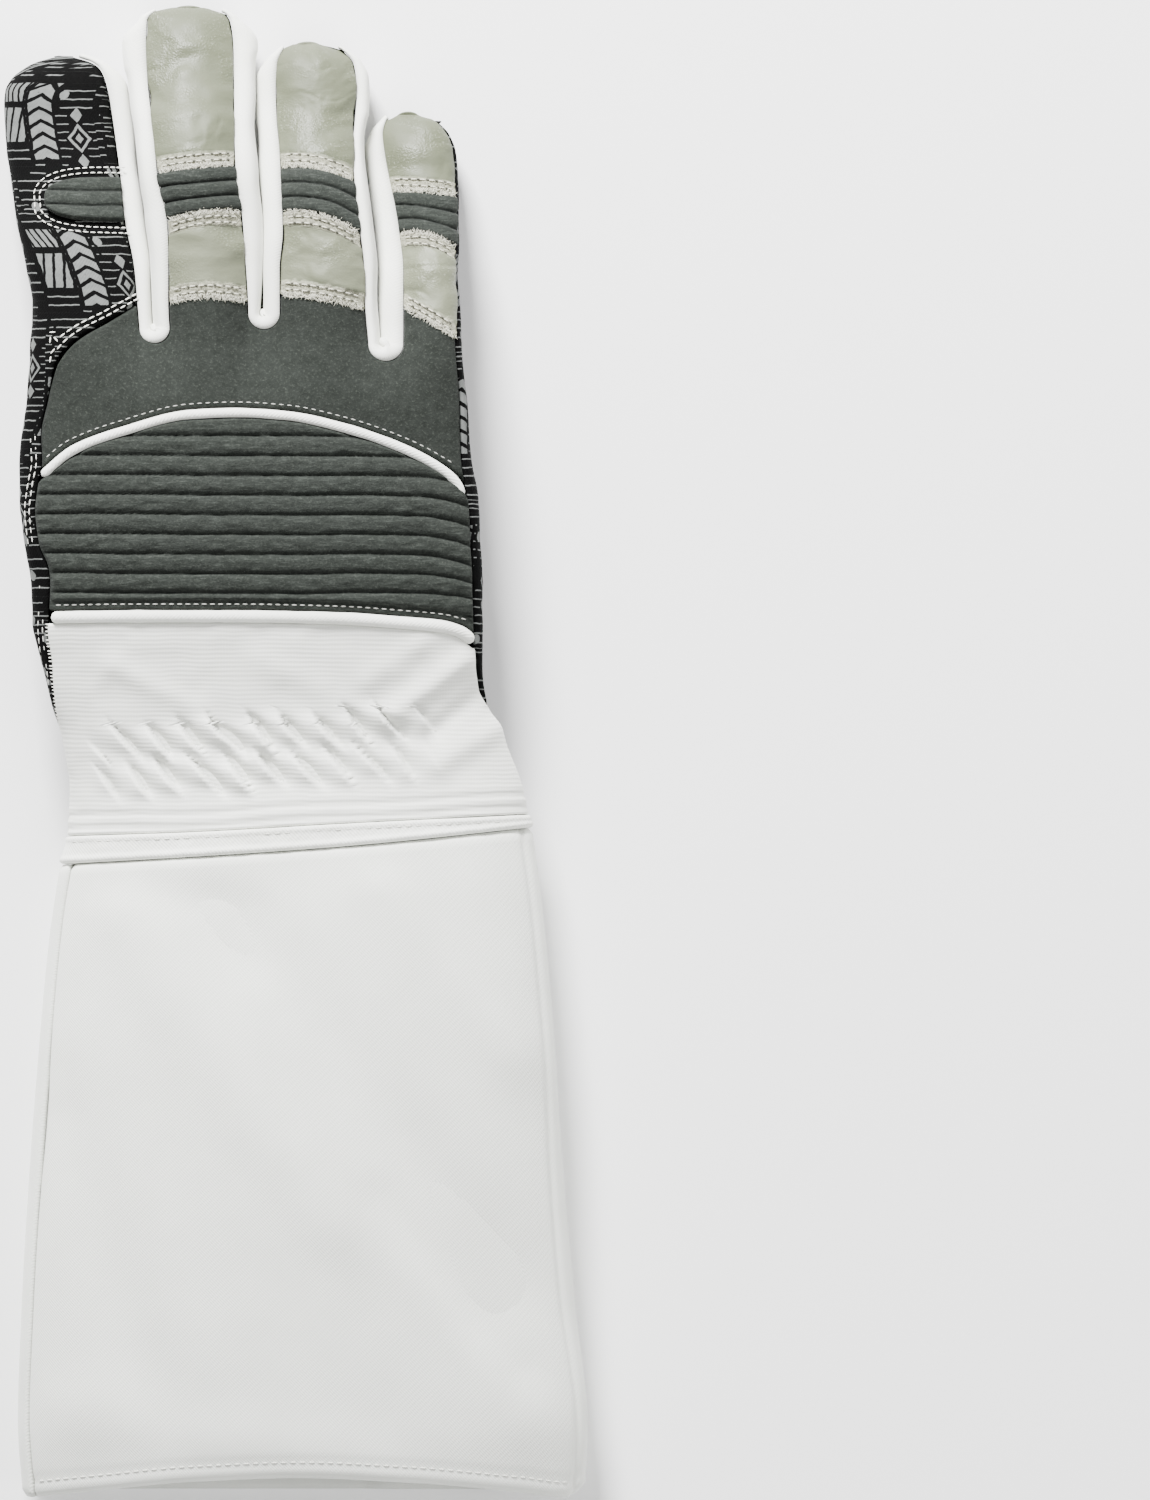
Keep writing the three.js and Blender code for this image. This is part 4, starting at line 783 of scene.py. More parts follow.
def palm_cloth():
    nl, nr, rows_hand, rows_finger = 36, 10, 90, 64
    plan = [(-1, i / nl, 0) for i in range(nl)]
    plan += [(0, s, k) for k, s in plan_columns([10, 8, 16, 8, 16, 8, 10])]
    plan += [(1, i / nr, 6) for i in range(1, nr + 1)]
    th = np.linspace(0, 1, rows_hand + 1)
    th = mix(th, 1 - (1 - th) ** 1.5, 0.5)
    tf = np.linspace(0, 1, rows_finger + 1)[1:]
    tf = mix(tf, 1 - (1 - tf) ** 2.0, 0.7)
    turn = np.array([0.25, 0.6, 1.0])
    P = np.zeros((len(plan), rows_hand + rows_finger + 1 + len(turn), 3))

    def edge_point(e, t, y):
        a, b = (left_seam(y), -split_at(y, 0, 1)) if e < 0 else (-split_at(y, 6, 7), right_seam(y))
        g = square2(mix(root2(a), root2(b), t))
        x = knot(0, y) + np.abs(g) if e < 0 else knot(7, y) - np.abs(g)
        u, o = heights(x, y)
        return x, np.where(g > 0, o, u)

    def palm_x(k, s, y):
        if k == 0:
            return mix(knot(0, y) + split_at(y, 0, 1), knot(1, y), s)
        if k == 6:
            return mix(knot(6, y), knot(7, y) - split_at(y, 6, 7), s)
        return mix(knot(k, y), knot(k + 1, y), s)

    for i, (e, s, k) in enumerate(plan):
        line = (GAPS[0][1] if e < 0 else GAPS[2][1]) if e else crotch_line(k, s)
        x0 = edge_point(e, s, PALM_HEM)[0] if e else palm_x(k, s, PALM_HEM)
        tip = tip_arch(k // 2, 1.0 if k % 2 or e > 0 else s) - 0.7 * (k > 1)
        y = np.concatenate([mix(palm_hem(x0), line, th), mix(line, tip, tf)])
        if e:
            x, z = edge_point(e, s, y)
        else:
            x = palm_x(k, s, y)
            z = under(x, y)
        u, o = heights(x[-1:], y[-1:])
        top = (u + o) / 2 if e < 0 or k < 2 else np.maximum(o - LEATHER - 0.6, z[-1])
        x = np.append(x, np.repeat(x[-1], len(turn)))
        y = np.append(y, y[-1] + 0.25 * np.sin(0.8 * math.pi * turn))
        z = np.append(z, mix(z[-1], top, turn))
        P[i] = np.stack([x, y, z], -1)
    gapcol = np.array([a[0] == 0 and b[0] == 0 and a[2] % 2 == 1 for a, b in zip(plan, plan[1:])])
    mask = np.ones((len(plan) - 1, P.shape[1] - 1), bool)
    mask[gapcol, rows_hand:] = False
    uv = arc_uv(P, nl)
    uv[nl:len(plan) - nr, :, 0] = P[nl:len(plan) - nr, :, 0]
    end = -len(turn) - 1
    uv[:, end + 1:, 1] = uv[:, end, 1][:, None] + np.abs(P[:, end + 1:, 2] - P[:, end, 2][:, None])
    x, y = P[..., 0], P[..., 1]
    wr = 0.35 * fbm(x, y, 14, 5) + 0.16 * fbm(x, y, 4.5, 9)
    sheet_piece("palm_cloth_skin", P, CLOTH, "printed_cloth", ("palm_cloth", "index_cloth"), "printed_cloth",
                lift=wr * 0.6, mask=mask, flip=True, uv=uv, edge=0.5)


# Thumb
RINGS = np.array(THUMB_RINGS, float)
THUMB_TOP = 60
THUMB_SEAM, THUMB_FRONT, THUMB_BACK = -42, 163, -197
THUMB_ROOT = 12


def thumb_ring(t):
    i = np.clip(np.floor(t).astype(int), 0, len(RINGS) - 2)
    f = (t - i)[..., None]
    p0, p1, p2, p3 = (RINGS[np.clip(i + d, 0, len(RINGS) - 1)] for d in (-1, 0, 1, 2))
    a, b = 2 * p0 - 5 * p1 + 4 * p2 - p3, 3 * p1 - p0 - 3 * p2 + p3
    return 0.5 * (2 * p1 + (p2 - p0) * f + a * f ** 2 + b * f ** 3)


def thumb_point(deg, t):
    a = np.radians(deg)
    t = np.asarray(t, float)
    r = thumb_ring(t)

    def power(v):
        return np.sign(v) * np.abs(v) ** (2 / 2.5)
    side, up = power(np.cos(a)), (power(np.sin(a)) + 1) / 2
    x = (r[..., 0] + r[..., 1] * side) * PL
    y = mix(r[..., 4], r[..., 2], up) * PL
    z = floor_clamp(mix(r[..., 5], r[..., 3], up) * PH)
    z = np.minimum(mix(z, under(x, y) + 0.9, ease(t, len(RINGS) - 2.6, len(RINGS) - 1)), THUMB_TOP)
    return np.stack([x, y, z], -1)


def leather_end(s):
    return mix(4.9, 4.2, s)


def thumb_strip(a, b, nu, nv, first, last):
    s, v = grid(nu, nv)
    t = mix(first(s), last(s), v) + 0 * s
    r = thumb_ring(t)[..., 1] * PL
    gap = (0.8 + 10 / r) if b > a else 0 * r
    return thumb_point(mix(a + gap, b - gap, s), t)


def thumb():
    P = thumb_strip(THUMB_SEAM, THUMB_FRONT, 60, 90, lambda s: 0 * s, lambda s: THUMB_ROOT + 0 * s)
    x, y = P[..., 0], P[..., 1]
    sheet_piece("thumb_cloth_skin", P, CLOTH, "printed_cloth", "thumb_cloth", "printed_cloth",
                lift=0.3 * fbm(x, y, 9, 21), uv=arc_uv(P, 20), edge=0.4)
    P = thumb_strip(THUMB_SEAM, THUMB_BACK, 70, 60, lambda s: 0 * s, lambda s: leather_end(s) - 0.02)
    x, y = P[..., 0], P[..., 1]
    ds = edge_distance(P)
    suede = 1 - ease(ds[3] + 0.3 * fbm(x, y, 1.1, 33), 2.6, 3.6)
    sheet_piece("thumb_tip_skin", P, LEATHER, "leather_pale", "thumb_tip_leather", "leather", flip=True,
                lift=wrinkles(x, y, 31), uv=arc_uv(P, 35), values={"suede": suede}, edge=0.45)
    P = thumb_strip(THUMB_SEAM, THUMB_BACK, 70, 90, leather_end, lambda s: THUMB_ROOT + 0 * s)
    x, y = P[..., 0], P[..., 1]
    o = sheet_piece("thumb_back_skin", P, CLOTH * 1.5, "neoprene", "thumb_back", "neoprene", flip=True,
                    lift=0.25 * fbm(x, y, 12, 41), uv=arc_uv(P, 35), edge=0.6)


def wrinkles(x, y, seed):
    """Soft dents of thin leather, with a few long creases across the finger."""
    wx = x + 2.4 * noise(x, y, 9, seed + 1)
    wy = y + 2.4 * noise(x, y, 9, seed + 2)
    dent = fbm(wx * 0.75, wy * 1.3, 10.0, seed)
    line = noise(wx * 0.6, wy * 1.15, 7.5, seed + 5)
    near = ease(noise(x, y, 13, seed + 8), -0.25, 0.45)
    crease = np.exp(-np.abs(line / 0.13) ** 1.5) * near
    small = fbm(wx, wy, 2.6, seed + 11) * near
    return 0.75 * dent - 0.2 * crease + 0.12 * small


# Finger side walls
PARTING = [column(t, 1, 1) for t in ([(640, 0.55), (700, 0.55), (760, 0.44), (850, 0.47), (1000, 0.5)],
                                     [(640, 0.46), (720, 0.46), (790, 0.43), (860, 0.5), (1000, 0.5)],
                                     [(600, 0.4), (680, 0.36), (760, 0.32), (850, 0.36), (1000, 0.4)])]


def fourchette(g, name):
    gx, gy, R = GAPS[g]
    n, arc, rows = 110, 40, 22
    off = SG + 0.08
    left_s = np.linspace(0, 1, n + 1) ** 1.35
    yl = mix(TIPS[g] - (1.0 if g else 0.4), gy, left_s)
    yr = mix(TIPS[g + 1] - 1.0, gy, left_s)[::-1]
    a = np.linspace(0, math.pi, arc + 1)[1:-1]
    kl, kr = 2 * g + 1, 2 * g + 2
    e = 0.5

    def part(k, y, side, tip):
        slope = (knot(k, y + e) - knot(k, y - e)) / (2 * e)
        L = np.hypot(1, slope)
        part_at = PARTING[g](y)
        room = (knot(kr, y) - knot(kl, y)) * (part_at if side > 0 else 1 - part_at)
        return knot(k, y), y, side / L, -side * slope / L, room, mix(0.14, 1, ease(tip - y, 0.5, 9))
    A, B = part(kl, yl, 1, TIPS[g]), part(kr, yr, -1, TIPS[g + 1])
    low = float(PARTING[g](gy))
    C = (gx - R * np.cos(a), gy - R * np.sin(a), np.cos(a), np.sin(a),
         2 * R * mix(low, 1 - low, ease(a, 0, math.pi)) + 0.35 * np.sin(a), np.ones_like(a))
    x, y, nx, ny, room, rise = (np.concatenate(t) for t in zip(A, C, B))
    lo, hi = heights(x, y)
    v = np.linspace(0, math.pi, rows + 1)[None]
    extra = np.maximum(0.3, np.minimum(6.4, room - 0.06) - off)
    out = off + extra[:, None] * rise[:, None] * np.sin(v) ** 0.5
    z = ((lo + hi) / 2)[:, None] + ((hi - lo) / 2)[:, None] * np.cos(v)
    P = np.stack([x[:, None] + nx[:, None] * out, y[:, None] + ny[:, None] * out, z], -1)
    s = np.concatenate([[0], np.cumsum(np.hypot(np.diff(x), np.diff(y)))])
    uv = np.stack(np.broadcast_arrays(s[:, None], v * 6), -1)
    fold = 0.42 * fbm(s[:, None] * 0.8, v * 5, 13, 51 + g) * np.sin(v)
    sheet_piece(name + "_skin", P, 0.9, "side_cloth", name, "white_knit", lift=fold, uv=uv, edge=0.3)


# Leather and ribbed bands
def through(row, s):
    a, m, b = row
    return (a * (1 - s) * (1 - 2 * s) + m * 4 * s * (1 - s) + b * s * (2 * s - 1)) * PL


def finger_grid(k, nu, nv, low, high, spread=None):
    s, v = grid(nu, nv)
    if spread:
        v = spread(v)
    y = mix(low(s), high(s), v)
    right = knot(7, y) - right_seam(y) - SG if k == 6 else knot(k + 1, y) + 0.15
    x = mix(knot(k, y) - 0.15, right, s)
    return top_at(x, y), v


def rib_profile(phase):
    """Round rib between two tight grooves; phase counts ribs."""
    f = np.abs((phase % 1.0) * 2 - 1)
    return np.clip(1 - f ** 3.0, 0, 1) ** 0.6


def ribbed(name, P, wall, node, profile, lift, **more):
    """Padded ribbed piece, with painted shade darkening its grooves."""
    values = {"groove": np.clip(1 - profile * 1.25, 0, 1) * 0.8 + 0 * P[..., 0]}
    o = sheet_piece(name, P, wall, "ribbed_cloth", node, "ribbed_cloth", lift=lift, values=values, **more)


def band_leather(name, P, mat, node, d, seed, offset, fade):
    """Leather piece with a raw, frayed edge; d is the distance from it."""
    x, y = P[..., 0], P[..., 1]
    ragged = 0.5 * fbm(x, y, 1.1, seed + 9 + offset)
    suede = 1 - ease(d + 0.6 * ragged, 3.3, 4.1)
    frayed = np.where(d < 3.6, 0.28 * noise(x, y, 0.7, seed + 4 + offset), 0)
    dents = wrinkles(x, y, seed + offset // 5) * ease(d, 2, fade)
    sheet_piece(name, P, LEATHER, mat, node, "leather", lift=dents + frayed + 0.25 * ease(d, 3.3, 4.4),
                values={"suede": suede}, edge=0.4)


def finger_bands(i, name, bands, seed):
    k = 2 * i

    def low(row):
        return lambda s: through(bands[row], s) + SG / 2

    def high(row):
        return lambda s: through(bands[row], s) - SG / 2
    P, _ = finger_grid(k, 56, 100, low(0), lambda s: tip_arch(i, s), lambda v: mix(v, 1 - (1 - v) ** 2, 0.6))
    band_leather(name + "_tip_skin", P, "leather", name + "_tip_leather", edge_distance(P)[2], seed, 0, 6)
    P, v = finger_grid(k, 50, 66, low(1), high(0))
    x, y = P[..., 0], P[..., 1]
    prof = rib_profile(v * 3 + 0.12 * fbm(x, y, 12, seed + 6, 1))
    ribbed(name + "_rib_skin", P, 1.8, name + "_rib_band", prof,
           1.15 * prof - 0.25 + 0.12 * fbm(x, y, 3, seed + 5), edge=0.4)
    P, _ = finger_grid(k, 56, 64, low(2), high(1))
    d = np.minimum(*edge_distance(P)[2:])
    band_leather(name + "_band_skin", P, "leather_pale", name + "_leather_band", d, seed, 10, 5)


# Index rib patch
PATCH_Y, PATCH_HALF, PATCH_END = 868.8, 14.7, -166.7


def patch_point(u, side):
    """Plan point of the index patch, u from the seam to its round end, side from edge to edge."""
    y = (PATCH_Y + side * PATCH_HALF * (1 - 0.97 * u ** 3.2) ** 0.42) * PL
    return mix(knot(1, y) - 0.5, PATCH_END * PL, u), y


def index_patch():
    u, w = grid(60, 56)
    x, y = patch_point(u, 2 * w - 1)
    phase = (y / PL - PATCH_Y + PATCH_HALF) / (2 * PATCH_HALF) * 3
    prof = rib_profile(phase + 0.1 * fbm(x, y, 9, 77, 1))
    ribbed("index_patch_skin", top_at(x, y), 1.2, "index_rib_patch", prof, prof - 0.2, shift=1.35, flip=True,
           edge=0.7)


# Knuckle panel, piping, ribs
PR, BINDING_RADIUS = 1.2, 1.6
FINGER_PART, PIPING_LEVEL = 16.1 * PL, 700 * PL


def knuckle_panel():
    plan = plan_columns([34, 12, 26, 12, 26, 12, 24])
    nv1, nv2 = 48, 16
    tops = [None, MIDDLE_BANDS, RING_BANDS, LITTLE_BANDS]
    P = np.zeros((len(plan), nv1 + nv2 + 1, 3))

    def kx(k, s, y):
        left = knot(0, y) + left_seam(np.minimum(y, KNUCKLE_LEFT_TOP)) + SG
        right = knot(7, y) - right_seam(y) - SG
        if k == 0:
            return mix(left, knot(1, y), s)
        if k == 6:
            return mix(knot(6, y), right, s)
        return mix(knot(k, y), knot(k + 1, y), s)

    def rows(k, s):
        if k == 0:
            x = mix(KNUCKLE_TOP[0][0], KNUCKLE_TOP[-1][0], s) * PL
            top = float(beside(knuckle_top, x, -0.3))
            return top - FINGER_PART, top
        if k % 2:
            if s == 0:
                return rows(k - 1, 1.0)
            return crotch_line(k, s), crotch_line(k, s) + FINGER_PART
        return crotch_line(k, s), float(through(tops[k // 2][2], s)) - SG / 2

    for i, (k, s) in enumerate(plan):
        line, top = rows(k, s)
        x0 = float(kx(k, s, PIPING_LEVEL))
        start = float(beside(piping_line, x0, PR + 0.1))
        y = np.concatenate([np.linspace(start, line, nv1 + 1), np.linspace(line, top, nv2 + 1)[1:]])
        x = kx(k, s, y)
        P[i] = top_at(x, y)
    mask = np.ones((len(plan) - 1, nv1 + nv2), bool)
    gap = np.array([k % 2 == 1 for k, _ in plan[:-1]])
    mask[gap, nv1:] = False
    x, y = P[..., 0], P[..., 1]
    lift = 0.16 * fbm(x, y, 18, 61, 1) + 0.05 * fbm(x, y, 2, 63)
    o = sheet_piece("knuckle_skin", P, NEOPRENE, "neoprene", "knuckle_panel", "neoprene", lift=lift,
                    mask=mask, edge=0.9)


def tube(name, x0, x1, line, radius, node, rise):
    """Rolled edge along a plan curve, sunk or raised over the surface."""
    steps, sides = 220, 18
    x = np.linspace(x0 * PL, x1 * PL, steps + 1)
    y = line(x)
    c, n = surface_frame(x, y)
    c = c + n * rise
    b = np.cross(n, unit(np.gradient(c, axis=0)))
    end = np.minimum(np.arange(steps + 1), np.arange(steps + 1)[::-1]) * (x[1] - x[0])
    r = radius * np.sqrt(np.clip(1 - np.clip(1 - end / (radius * 0.9), 0, 1) ** 2, 0.02, 1))
    r = (r * (1 + 0.035 * fbm(x, y, 5, 71)))[:, None, None]
    a = (np.arange(sides) / sides * 2 * math.pi)[None, :, None]
    V = c[:, None] + r * (np.cos(a) * b[:, None] + np.sin(a) * n[:, None])
    ids = np.arange((steps + 1) * sides).reshape(steps + 1, sides)
    nx = np.roll(ids, -1, 1)
    q = np.stack([ids[:-1], nx[:-1], nx[1:], ids[1:]], -1).reshape(-1, 4)
    uv = np.stack(np.broadcast_arrays(x[:, None], a[..., 0] * radius), -1).reshape(-1, 2)
    o = new_mesh(name, to_m(V.reshape(-1, 3)), [q, ids[0][None, ::-1], ids[-1][None]], uv, "binding", {})
    return claim(o, node)


drop_table = column([(-30, 0.0), (23, 0.03), (84, 0.17), (106, 0.55), (119, 1.0), (131, 1.25)], 1)
RIB_DROP, RIB_START, RIB_PITCH = 24.1 * PL, 593.4 * PL, 13.05 * PL


def rib_level(x, y):
    """Level on the thumb side of the quilting line through a point: lines drop on the little finger side."""
    d = drop_table(np.clip(x, -30 * PL, 131 * PL)) * RIB_DROP
    level = y + 0 * x
    for _ in range(12):
        level = 0.5 * (level + y + d * mix(0.34, 1, ease(level, 597 * PL, 634 * PL)))
    return level


def side_span(y):
    return edge_angle(-1, left_seam(y) + SG, y), edge_angle(1, right_seam(y) + SG, y)


def ring_grid(nu, nv, low, high):
    s, v = grid(nu, nv)

    def near(y):
        a, b = side_span(y)
        return ring_point(mix(a, b, s[:, 0]), np.full(nu + 1, float(y)))[..., 0]
    lo = low(near(low(0.0)))[:, None]
    hi = high(near(high(0.0)))[:, None]
    y = mix(lo, hi, v)
    a, b = side_span(y)
    return ring_point(mix(a, b, s), y)


def rib_panel():
    P = ring_grid(160, 132, lambda x: beside(binding_line, x, 1.75),
                  lambda x: beside(piping_line, x, -PR - 0.1))
    x, y = P[..., 0], P[..., 1]
    ds = edge_distance(P)
    prof = rib_profile((rib_level(x, y) - RIB_START) / RIB_PITCH + 0.05 * fbm(x, y, 20, 81, 1))
    flat = ease(ds[2], 2.2, 3.2) * ease(np.minimum(ds[0], ds[1]), 0.3, 2.0)
    # groove: painted shade for the colour in the recesses between the ribs
    groove = np.clip(1 - prof * 1.6, 0, 1) * flat * 0.6
    tuck = 0.16 * fbm(x * 0.5, y, 1.6, 83)
    o = sheet_piece("rib_skin", P, 1.8, "ribbed_cloth", "rib_panel", "ribbed_cloth",
                    lift=(1.3 * prof - 0.35) * flat + tuck * flat, values={"groove": groove}, edge=0.7)


# Ridges of the wrist and the cuff: height in millimetres, then both ends and the width in the tables' units
WRIST_RIDGES = [
    (1.5, 66, 526, 112, 560, 8), (-0.9, 92, 512, 124, 540, 7), (0.7, 50, 548, 88, 574, 9),
    (1.0, 100, 494, 134, 516, 9), (0.6, -120, 556, -66, 530, 8), (0.5, -20, 560, 40, 528, 10),
]
CUFF_RIDGES = [
    (1.2, -110, 385, 20, 190, 26), (-1.8, -70, 420, 130, 150, 30), (1.0, -10, 330, 150, 60, 26),
    (0.8, 60, 410, 140, 300, 20), (-0.9, -150, 250, -90, 60, 26), (-0.8, 60, 200, 150, 90, 16),
    (0.6, -140, 60, 60, 20, 22),
]


def ridge_along(x, y, x0, y0, x1, y1, wide):
    """Soft ridge of height 1 along a straight stretch."""
    L = math.hypot(x1 - x0, y1 - y0)
    tx, ty = (x1 - x0) / L, (y1 - y0) / L
    a = (x - x0) * tx + (y - y0) * ty
    c = -(x - x0) * ty + (y - y0) * tx
    past = np.maximum(np.maximum(-a, a - L), 0)
    return np.exp(-(c / wide) ** 2 - (past / (wide * 1.3)) ** 2)


def wrist():
    P = ring_grid(250, 140, lambda x: beside(band_top, x, SG / 2), lambda x: beside(binding_line, x, -1.6))
    x, y = P[..., 0], P[..., 1]
    lift = np.zeros_like(x)
    crease = np.zeros_like(x)
    reach = ease(x / PL, -142, -118) * (1 - ease(x / PL, 60, 105))
    uneven = 1 + 0.45 * noise(x, y, 16, 88)
    for yc, half, start in [(514, 13, 0.0), (489, 13, 0.5)]:
        q = (0.79 * x / PL + 0.61 * y / PL) / 18.4 + start + 0.13 * noise(x, y, 11, 89)
        f = q % 1.0
        at = yc + 0.065 * x / PL + 3.6 * np.sin(2.4 * np.floor(q) + 5 * start)
        w = np.exp(-np.abs((y / PL - at) / half / 0.78) ** 3.0)
        saw = np.where(f < 0.9, np.sin(math.pi / 2 * f / 0.9) ** 0.8, (1 - f) / 0.1)
        lift += 4.4 * w * (saw - 0.6) * reach * uneven
        # Painted shade for the knit's colour: a dark line in each pucker crease and a grey wedge beside it
        shade = np.maximum(np.exp(-(np.minimum(f, 1 - f) / 0.06) ** 2),
                           0.6 * np.clip(1 - f / 0.5, 0, 1) ** 1.5)
        crease = np.maximum(crease, w * shade * reach)
    for amp, *ridge in WRIST_RIDGES:
        lift += amp * ridge_along(x / PL, y / PL, *ridge)
    above = y - band_top(x)
    for at, wide, amp in [(1.6, 0.8, -0.25), (3.3, 1.0, 0.15), (4.9, 0.8, -0.2), (6.6, 1.0, 0.1)]:
        lift += amp * np.exp(-((above - at - 0.4 * noise(x, y, 25, 97)) / wide) ** 2)
    lift += 0.18 * fbm(x, y, 9, 91)
    sheet_piece("wrist_skin", P, 1.0, "white_knit", "wrist_panel", "white_knit", lift=lift, uv=arc_uv(P, 125),
                values={"crease": crease}, edge=0.5)
    P = ring_grid(150, 24, lambda x: beside(band_bottom, x, SG / 2), lambda x: beside(band_top, x, -SG / 2))
    x, y = P[..., 0], P[..., 1]
    ds = edge_distance(P)
    roll = 0.5 * np.exp(-((ds[2] - 1.0) / 0.8) ** 2) + 0.3 * np.exp(-((ds[3] - 0.9) / 0.7) ** 2)
    sheet_piece("band_skin", P, 1.5, "binding", "wrist_seam_band", "white_binding",
                lift=0.14 * fbm(x, y, 3.5, 95) + roll, uv=arc_uv(P, 75), edge=0.5)


# Cuff
CUFF_TOP = 425 * PL
CUFF_SEAM = HEM_SIDE
LIFT_EASE = 12 * PL
STACK_GAP, STRIP_WALL = 0.5, 1.0
FLAP_STACK = CUFF_WALL + STRIP_WALL + 2 * STACK_GAP
LOOP_STACK = STRIP_WALL + STACK_GAP
STRIP_HEM, STRIP_SIDE = 9 * PL, 27 * PL
HEM_ROW = 4.1  # distance of the hem's stitches from the hem


def flap_reach(y):
    return mix(62 * PL, 41 * PL, np.clip(y / CUFF_TOP, 0, 1))


def loop_reach(y):
    return mix(134 * PL, 103 * PL, np.clip(y / CUFF_TOP, 0, 1))


def palm_lift(x, y):
    d = knot(7, y) - x
    f = 1 - np.clip((d - flap_reach(y) - 1) / LIFT_EASE, 0, 1)
    q = 1 - np.clip((d - loop_reach(y) - 1) / LIFT_EASE, 0, 1)
    return f * FLAP_STACK + q * LOOP_STACK


def cuff_folds(x, y):
    """Soft dents of the stiff padded cuff."""
    u, v = x / PL, y / PL
    f = 0.5 * fbm(x, y, 70, 101)
    for amp, *ridge in CUFF_RIDGES:
        f = f + amp * ridge_along(u, v, *ridge)
    return f


def fold_lift(x, y, z):
    """The dents on the cuff's back, which fade at its sides and under the seam band."""
    return 1.3 * cuff_folds(x, y) * ease(z, 6, 22) * ease(band_bottom(x) - y, 0, 14)


def hem_at(x, y):
    p = top_at(x, y)
    p[..., 2] += fold_lift(x, y, p[..., 2]) - 0.3
    return p


def cuff_grid(span, turn, palm_gap, at_top, at_hem):
    """Ring grid of the cuff between its hem and the seam band or palm cloth."""
    s, v = grid(160, 110)
    top = ring_point(span(CUFF_TOP, s), np.full_like(s, CUFF_TOP))[..., 0]
    bottom = ring_point(span(0.0, s), np.zeros_like(s))[..., 0]
    hi = mix(beside(band_bottom, top, -SG / 2), palm_hem(top) - palm_gap,
             ease(turn(span(CUFF_TOP, s)), *at_top))
    y = mix(mix(hem_line(bottom), HEM_SIDE, ease(turn(span(0.0, s)), *at_hem)), hi, v)
    P = ring_point(span(y, s), y)
    return P, P[..., 0], y, np.sin(span(y, s)) > 0


def cuff():
    def outer(y, s):
        return mix(edge_angle(-1, CUFF_SEAM + SG, y), edge_angle(1, -flap_reach(y), y), s)

    def inner(y, s):
        return mix(edge_angle(-1, CUFF_SEAM, y), edge_angle(1, -24 * PL, y) - 2 * math.pi, s)
    P, x, y, back = cuff_grid(outer, lambda a: a / math.pi, 0.6, (0.97, 1.03), (0.9, 1.1))
    near = np.minimum(x - knot(0, y), knot(7, y) - x)
    roll = -0.7 * np.exp(-((near - 2.5) / 0.8) ** 2) * back
    groove = -0.35 * np.exp(-((y - hem_line(x) - HEM_ROW) / 1.1) ** 2) * back
    sheet_piece("cuff_back_skin", P, CUFF_WALL, "cuff", "cuff_back", "cuff_cloth",
                lift=fold_lift(x, y, P[..., 2]) * back + roll + groove, uv=arc_uv(P, 80), edge=0.9)
    P, x, y, back = cuff_grid(inner, lambda a: -a, SG, (-0.12, 0.12), (-0.3, 0.3))
    sheet_piece("cuff_palm_skin", P, CUFF_WALL, "cuff", "cuff_palm", "cuff_cloth",
                shift=np.where(back, 0, -palm_lift(x, y)), flip=True, uv=arc_uv(P, 80), edge=0.7)

    def strip(name, slot, reach, depth):
        sx, v = grid(30, 110)
        y = mix(STRIP_HEM, CUFF_TOP, v) + 0 * sx
        x = knot(7, y) - mix(reach(y), STRIP_SIDE, sx)
        sheet_piece(name + "_skin", palm_at(x, y), STRIP_WALL, name, name + "_strip", slot,
                    shift=-depth(x, y), lift=-np.abs(0.12 * noise(x, y, 0.9, 111)), flip=True, edge=0.4)
    strip("loop", "loop_pile", loop_reach, lambda x, y: palm_lift(x, y) - LOOP_STACK)
    strip("hook", "hook_tape", lambda y: flap_reach(y) - 6 * PL, lambda x, y: CUFF_WALL + STACK_GAP + 0 * x)


palm_cloth()
thumb()
for _i, _n in enumerate(["index_middle", "middle_ring", "ring_little"]):
    fourchette(_i, "fourchette_" + _n)
finger_bands(1, "middle", MIDDLE_BANDS, 201)
finger_bands(2, "ring", RING_BANDS, 231)
finger_bands(3, "little", LITTLE_BANDS, 261)
index_patch()
knuckle_panel()
tube("knuckle_piping_skin", -168.5, 113, piping_line, PR, "knuckle_piping", -0.1)
tube("wrist_binding_skin", -162.5, 119.5, binding_line, BINDING_RADIUS, "wrist_binding", -0.3)
rib_panel()
wrist()
cuff()

# Stitches
def on_curve(line, x0, x1, off, n=160):
    x = np.linspace(x0 * PL, x1 * PL, n)
    return x, beside(line, x, off)


def on_band(k, row, off, inset=0.6):
    s = np.linspace(0.03, 0.97, 30)
    y = through(row, s) + off
    right = knot(7, y) - right_seam(y) - SG if k == 6 else knot(k + 1, y)
    return mix(knot(k, y) + inset, right - inset, s), y


def leather_rows(name, node, k, edges):
    """Two rows of pale thread along each raw edge of a leather piece, with dark capsules as painted shade of the
    needle holes.
    """
    rows = [on_band(k, row, side * d) for row, side in edges for d in (1.5, 3.1)]
    stitches_on(name + "_thread", top_at, rows, "pale_thread", node, "leather", 2.3, 1.7, 0.21, 0.3)
    # Painted shade: dark capsules between the stitches stand for the shade in the needle holes
    stitches_on(name + "_holes", top_at, rows, "hole", node, "leather", 2.3, 0.85, 0.25, 0.36, start=1.0,
                rings=4)


